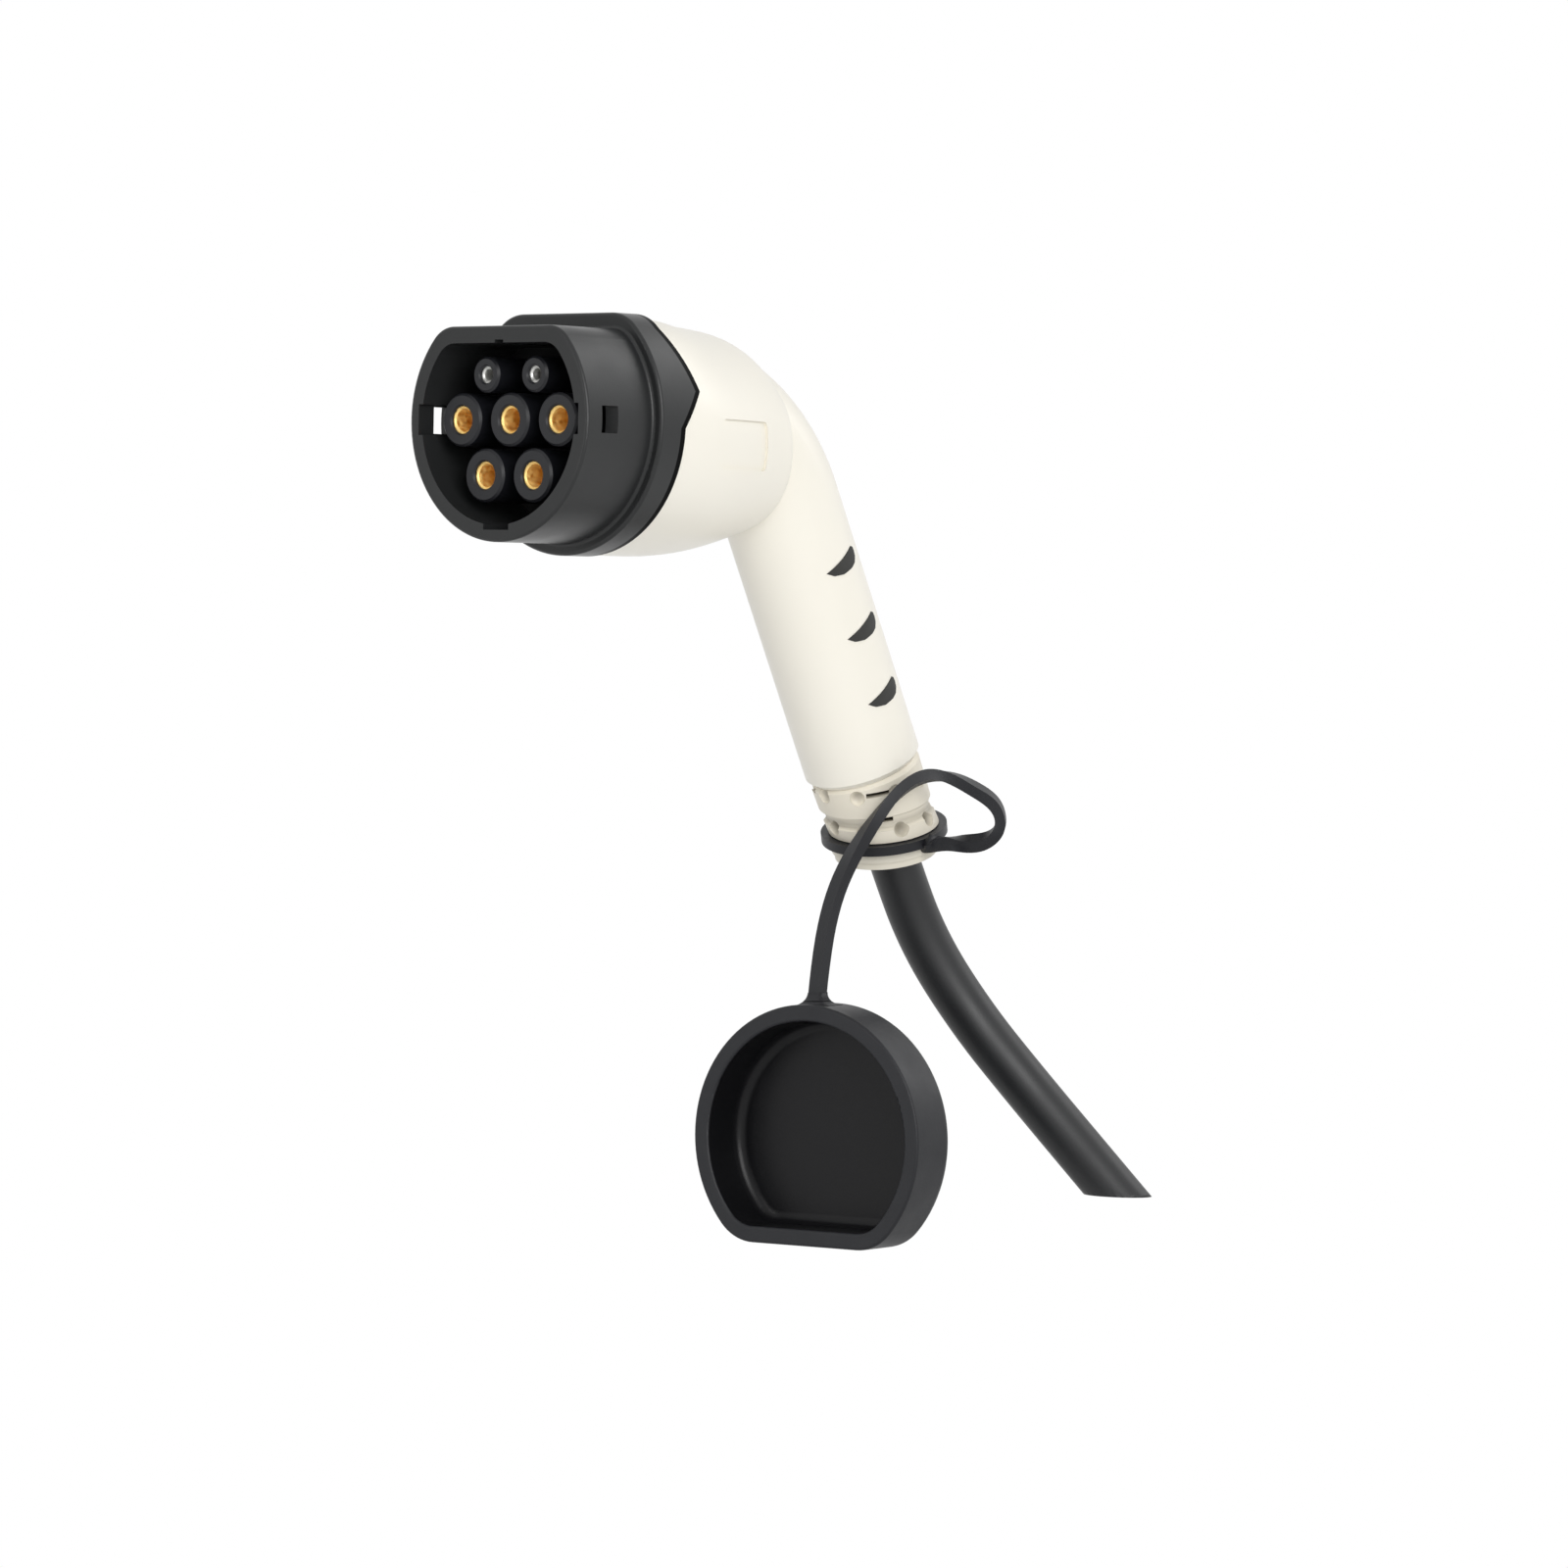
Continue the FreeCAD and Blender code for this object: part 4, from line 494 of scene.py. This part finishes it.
for operation, limit, source in (("GREATER_THAN", HOLLOW_FROM, depth.outputs["Value"]),
                                 ("LESS_THAN", HOLLOW_TO, depth.outputs["Value"]),
                                 ("GREATER_THAN", -HOLLOW_FLAT, height.outputs["Z"])):
    within = add_node(tree, "ShaderNodeMath", {"operation": operation, 1: limit}, {0: source})
    hollow = add_node(tree, "ShaderNodeMath", {"operation": "MULTIPLY"},
                      {0: hollow.outputs["Value"], 1: within.outputs["Value"]})
# Painted shade darkens the hollow of the cup to near black
painted_shade_mix = add_node(tree, "ShaderNodeMix", {"data_type": "RGBA", 7: linear(HOLLOW_SHADE_BLACK)},
                    {0: hollow.outputs["Value"], 6: source_of(shader.inputs["Base Color"])})
tree.links.new(painted_shade_mix.outputs[2], shader.inputs["Base Color"])
shine = add_node(tree, "ShaderNodeMapRange", {"To Min": OUTER_SHINE, "To Max": HOLLOW_SHINE},
                 {"Value": hollow.outputs["Value"]})
tree.links.new(shine.outputs["Result"], shader.inputs["Specular IOR Level"])
smoother = add_node(tree, "ShaderNodeMath", {"operation": "MULTIPLY", 1: HOLLOW_SMOOTHER},
                    {0: hollow.outputs["Value"]})
gloss = add_node(tree, "ShaderNodeMath", {"operation": "ADD"},
                 {0: source_of(shader.inputs["Roughness"]), 1: smoother.outputs["Value"]})
tree.links.new(gloss.outputs["Value"], shader.inputs["Roughness"])
dress(nodes["protective_cap"], cap_rubber)


# Strap root
# Where the strap runs into the cup, the same moulding widens all round in a hollow curve, so
# that the strap doesn't tear off when the cap is pulled. Its foot is sunk in the cup's wall.
CUP_RADIUS = 0.03655
ROOT_TURN = math.radians(3.2)
ROOT_LEAN = 0.17
ROOT_ASIDE = -0.00031
ROOT_ALONG = 0.0074
ROOT_HALF_WIDTH = 0.00237
ROOT_HALF_DEPTH = 0.0019
CORNER_ROUND = 0.0008
CORNER_STEPS = 5
FLARE_RADIUS = 0.0034
FLARE_SUNK = 0.0004
FLARE_STEPS = 10


def flare_levels():
    """The height over the cup and the added half width of each level, from the top to the foot."""
    levels = []
    for step in range(FLARE_STEPS + 1):
        turn = math.pi / 2 * step / FLARE_STEPS
        height = FLARE_RADIUS * (1 - math.sin(turn)) - FLARE_SUNK
        levels.append((height, FLARE_RADIUS * (1 - math.cos(turn))))
    return levels + [(-FLARE_SUNK * 2, FLARE_RADIUS)]


def root_place():
    """From the root's own axes, across, deep and out of the cup, to its lean and place on the cup."""
    along = Vector(CUP_AXIS)
    upward = Vector((0, 0, 1))
    sideways = upward.cross(along)
    outward = upward * math.cos(ROOT_TURN) + sideways * math.sin(ROOT_TURN)
    across = sideways * math.cos(ROOT_TURN) - upward * math.sin(ROOT_TURN)
    foot = Vector(RIM_CENTRE) + outward * CUP_RADIUS + across * ROOT_ASIDE + along * ROOT_ALONG
    axes = Matrix((across, along, outward + along * ROOT_LEAN)).transposed().to_4x4()
    return Matrix.Translation(foot) @ axes


def strap_root_mesh():
    """The strap's rounded section, drawn out level by level to the wider foot, then put in place."""
    form = bmesh.new()
    levels = flare_levels()
    corners = [form.verts.new((across * ROOT_HALF_WIDTH, deep * ROOT_HALF_DEPTH, levels[0][0]))
               for across, deep in ((-1, -1), (1, -1), (1, 1), (-1, 1))]
    form.faces.new(corners)
    bmesh.ops.bevel(form, geom=corners, affect="VERTICES", offset=CORNER_ROUND, segments=CORNER_STEPS,
                    profile=0.5, material=-1)
    end = form.faces[:][0]
    for (height_before, added_before), (height, added) in zip(levels, levels[1:]):
        drawn = bmesh.ops.extrude_face_region(form, geom=[end])["geom"]
        rim = [item for item in drawn if isinstance(item, bmesh.types.BMVert)]
        end = [item for item in drawn if isinstance(item, bmesh.types.BMFace)][0]
        wider = (ROOT_HALF_WIDTH + added) / (ROOT_HALF_WIDTH + added_before)
        deeper = (ROOT_HALF_DEPTH + added) / (ROOT_HALF_DEPTH + added_before)
        bmesh.ops.scale(form, verts=rim, vec=(wider, deeper, 1))
        bmesh.ops.translate(form, verts=rim, vec=(0, 0, height - height_before))
    bmesh.ops.transform(form, matrix=root_place(), verts=form.verts)
    bmesh.ops.recalc_face_normals(form, faces=form.faces)
    for face in form.faces:
        face.smooth = len(face.verts) == 4
    mesh = bpy.data.meshes.new("strap_root")
    form.to_mesh(mesh)
    form.free()
    return mesh


strap_root = bpy.data.objects.new("strap_root", strap_root_mesh())
bpy.context.scene.collection.objects.link(strap_root)
dress(strap_root, cap_rubber)
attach(strap_root, "cap")


# Studio
# Matt white paper far below, a white surround and three soft lamps: a broad key beside the
# camera, a side lamp from the right and rear, and a narrow upright strip from the left.
MIDDLE = Vector((0.09, -0.01, -0.08))
FLOOR_LEVEL = -0.42
FLOOR_RADIUS = 6.0
SHADOW_REACH = 0.30
FADED_BY = 0.62
SURROUND_LIGHT = 0.45
form = bmesh.new()
bmesh.ops.create_circle(form, cap_ends=True, segments=96, radius=FLOOR_RADIUS,
                        matrix=Matrix.Translation((0, 0, FLOOR_LEVEL)))
floor_mesh = bpy.data.meshes.new("floor")
form.to_mesh(floor_mesh)
form.free()
floor = bpy.data.objects.new("floor", floor_mesh)
bpy.context.scene.collection.objects.link(floor)
paper = new_finish("matt_white_paper")
shader = shader_of(paper)
shader.inputs["Base Color"].default_value = linear("#f8f8f8")
shader.inputs["Roughness"].default_value = 0.9
# Near the part the paper takes its shadow; further out it fades into the white of the surround
tree = paper.node_tree
place = add_node(tree, "ShaderNodeTexCoord")
centred = add_node(tree, "ShaderNodeVectorMath",
                   {"operation": "SUBTRACT", 1: (MIDDLE.x, MIDDLE.y, FLOOR_LEVEL)},
                   {0: place.outputs["Object"]})
away = add_node(tree, "ShaderNodeVectorMath", {"operation": "LENGTH"}, {0: centred.outputs["Vector"]})
fade = add_node(tree, "ShaderNodeMapRange",
                {"interpolation_type": "SMOOTHSTEP", "From Min": SHADOW_REACH, "From Max": FADED_BY},
                {"Value": away.outputs["Value"]})
rays = add_node(tree, "ShaderNodeLightPath")
direct = add_node(tree, "ShaderNodeMath", {"operation": "MAXIMUM"},
                  {0: rays.outputs["Is Camera Ray"], 1: rays.outputs["Is Glossy Ray"]})
faded = add_node(tree, "ShaderNodeMath", {"operation": "MULTIPLY"},
                 {0: direct.outputs["Value"], 1: fade.outputs["Result"]})
glow = add_node(tree, "ShaderNodeEmission", {"Color": (1, 1, 1, 1), "Strength": 1.0})
blended = add_node(tree, "ShaderNodeMixShader", links={0: faded.outputs["Value"], 1: shader.outputs[0],
                                                       2: glow.outputs[0]})
tree.links.new(blended.outputs[0], tree.nodes["Material Output"].inputs["Surface"])
dress(floor, paper)

# The surround lights the part evenly, and the camera and the reflections see it as plain white
world = bpy.data.worlds.new("studio")
bpy.context.scene.world = world
world.use_nodes = True
tree = world.node_tree
surround = tree.nodes["Background"]
surround.inputs["Color"].default_value = (1, 1, 1, 1)
surround.inputs["Strength"].default_value = SURROUND_LIGHT
white = add_node(tree, "ShaderNodeBackground", {"Color": (1, 1, 1, 1), "Strength": 1.0})
rays = add_node(tree, "ShaderNodeLightPath")
direct = add_node(tree, "ShaderNodeMath", {"operation": "MAXIMUM"},
                  {0: rays.outputs["Is Camera Ray"], 1: rays.outputs["Is Transmission Ray"]})
seen = add_node(tree, "ShaderNodeMath", {"operation": "MAXIMUM"},
                {0: direct.outputs["Value"], 1: rays.outputs["Is Glossy Ray"]})
mixed = add_node(tree, "ShaderNodeMixShader", links={0: seen.outputs["Value"], 1: surround.outputs[0],
                                                     2: white.outputs[0]})
tree.links.new(mixed.outputs[0], tree.nodes["World Output"].inputs["Surface"])


def from_middle(turn, rise, reach):
    """A place seen from the middle of the part, by its bearing, height angle and reach."""
    turn = math.radians(turn)
    rise = math.radians(rise)
    way = Vector((math.cos(turn) * math.cos(rise), math.sin(turn) * math.cos(rise), math.sin(rise)))
    return MIDDLE + way * reach


def add_lamp(name, at, power, width, height):
    """A soft rectangular lamp at a place, turned to the middle of the part."""
    lamp = bpy.data.lights.new(name, "AREA")
    lamp.shape = "RECTANGLE"
    lamp.size = width
    lamp.size_y = height
    lamp.energy = power
    item = bpy.data.objects.new(name, lamp)
    item.location = at
    item.rotation_euler = (MIDDLE - at).to_track_quat("-Z", "Y").to_euler()
    bpy.context.scene.collection.objects.link(item)


add_lamp("key", from_middle(turn=240, rise=18, reach=1.3), power=9.5, width=0.7, height=0.7)
add_lamp("side", from_middle(turn=335, rise=34, reach=1.3), power=3.0, width=0.5, height=0.9)
add_lamp("strip", from_middle(turn=168, rise=8, reach=1.3), power=2.0, width=0.16, height=1.1)
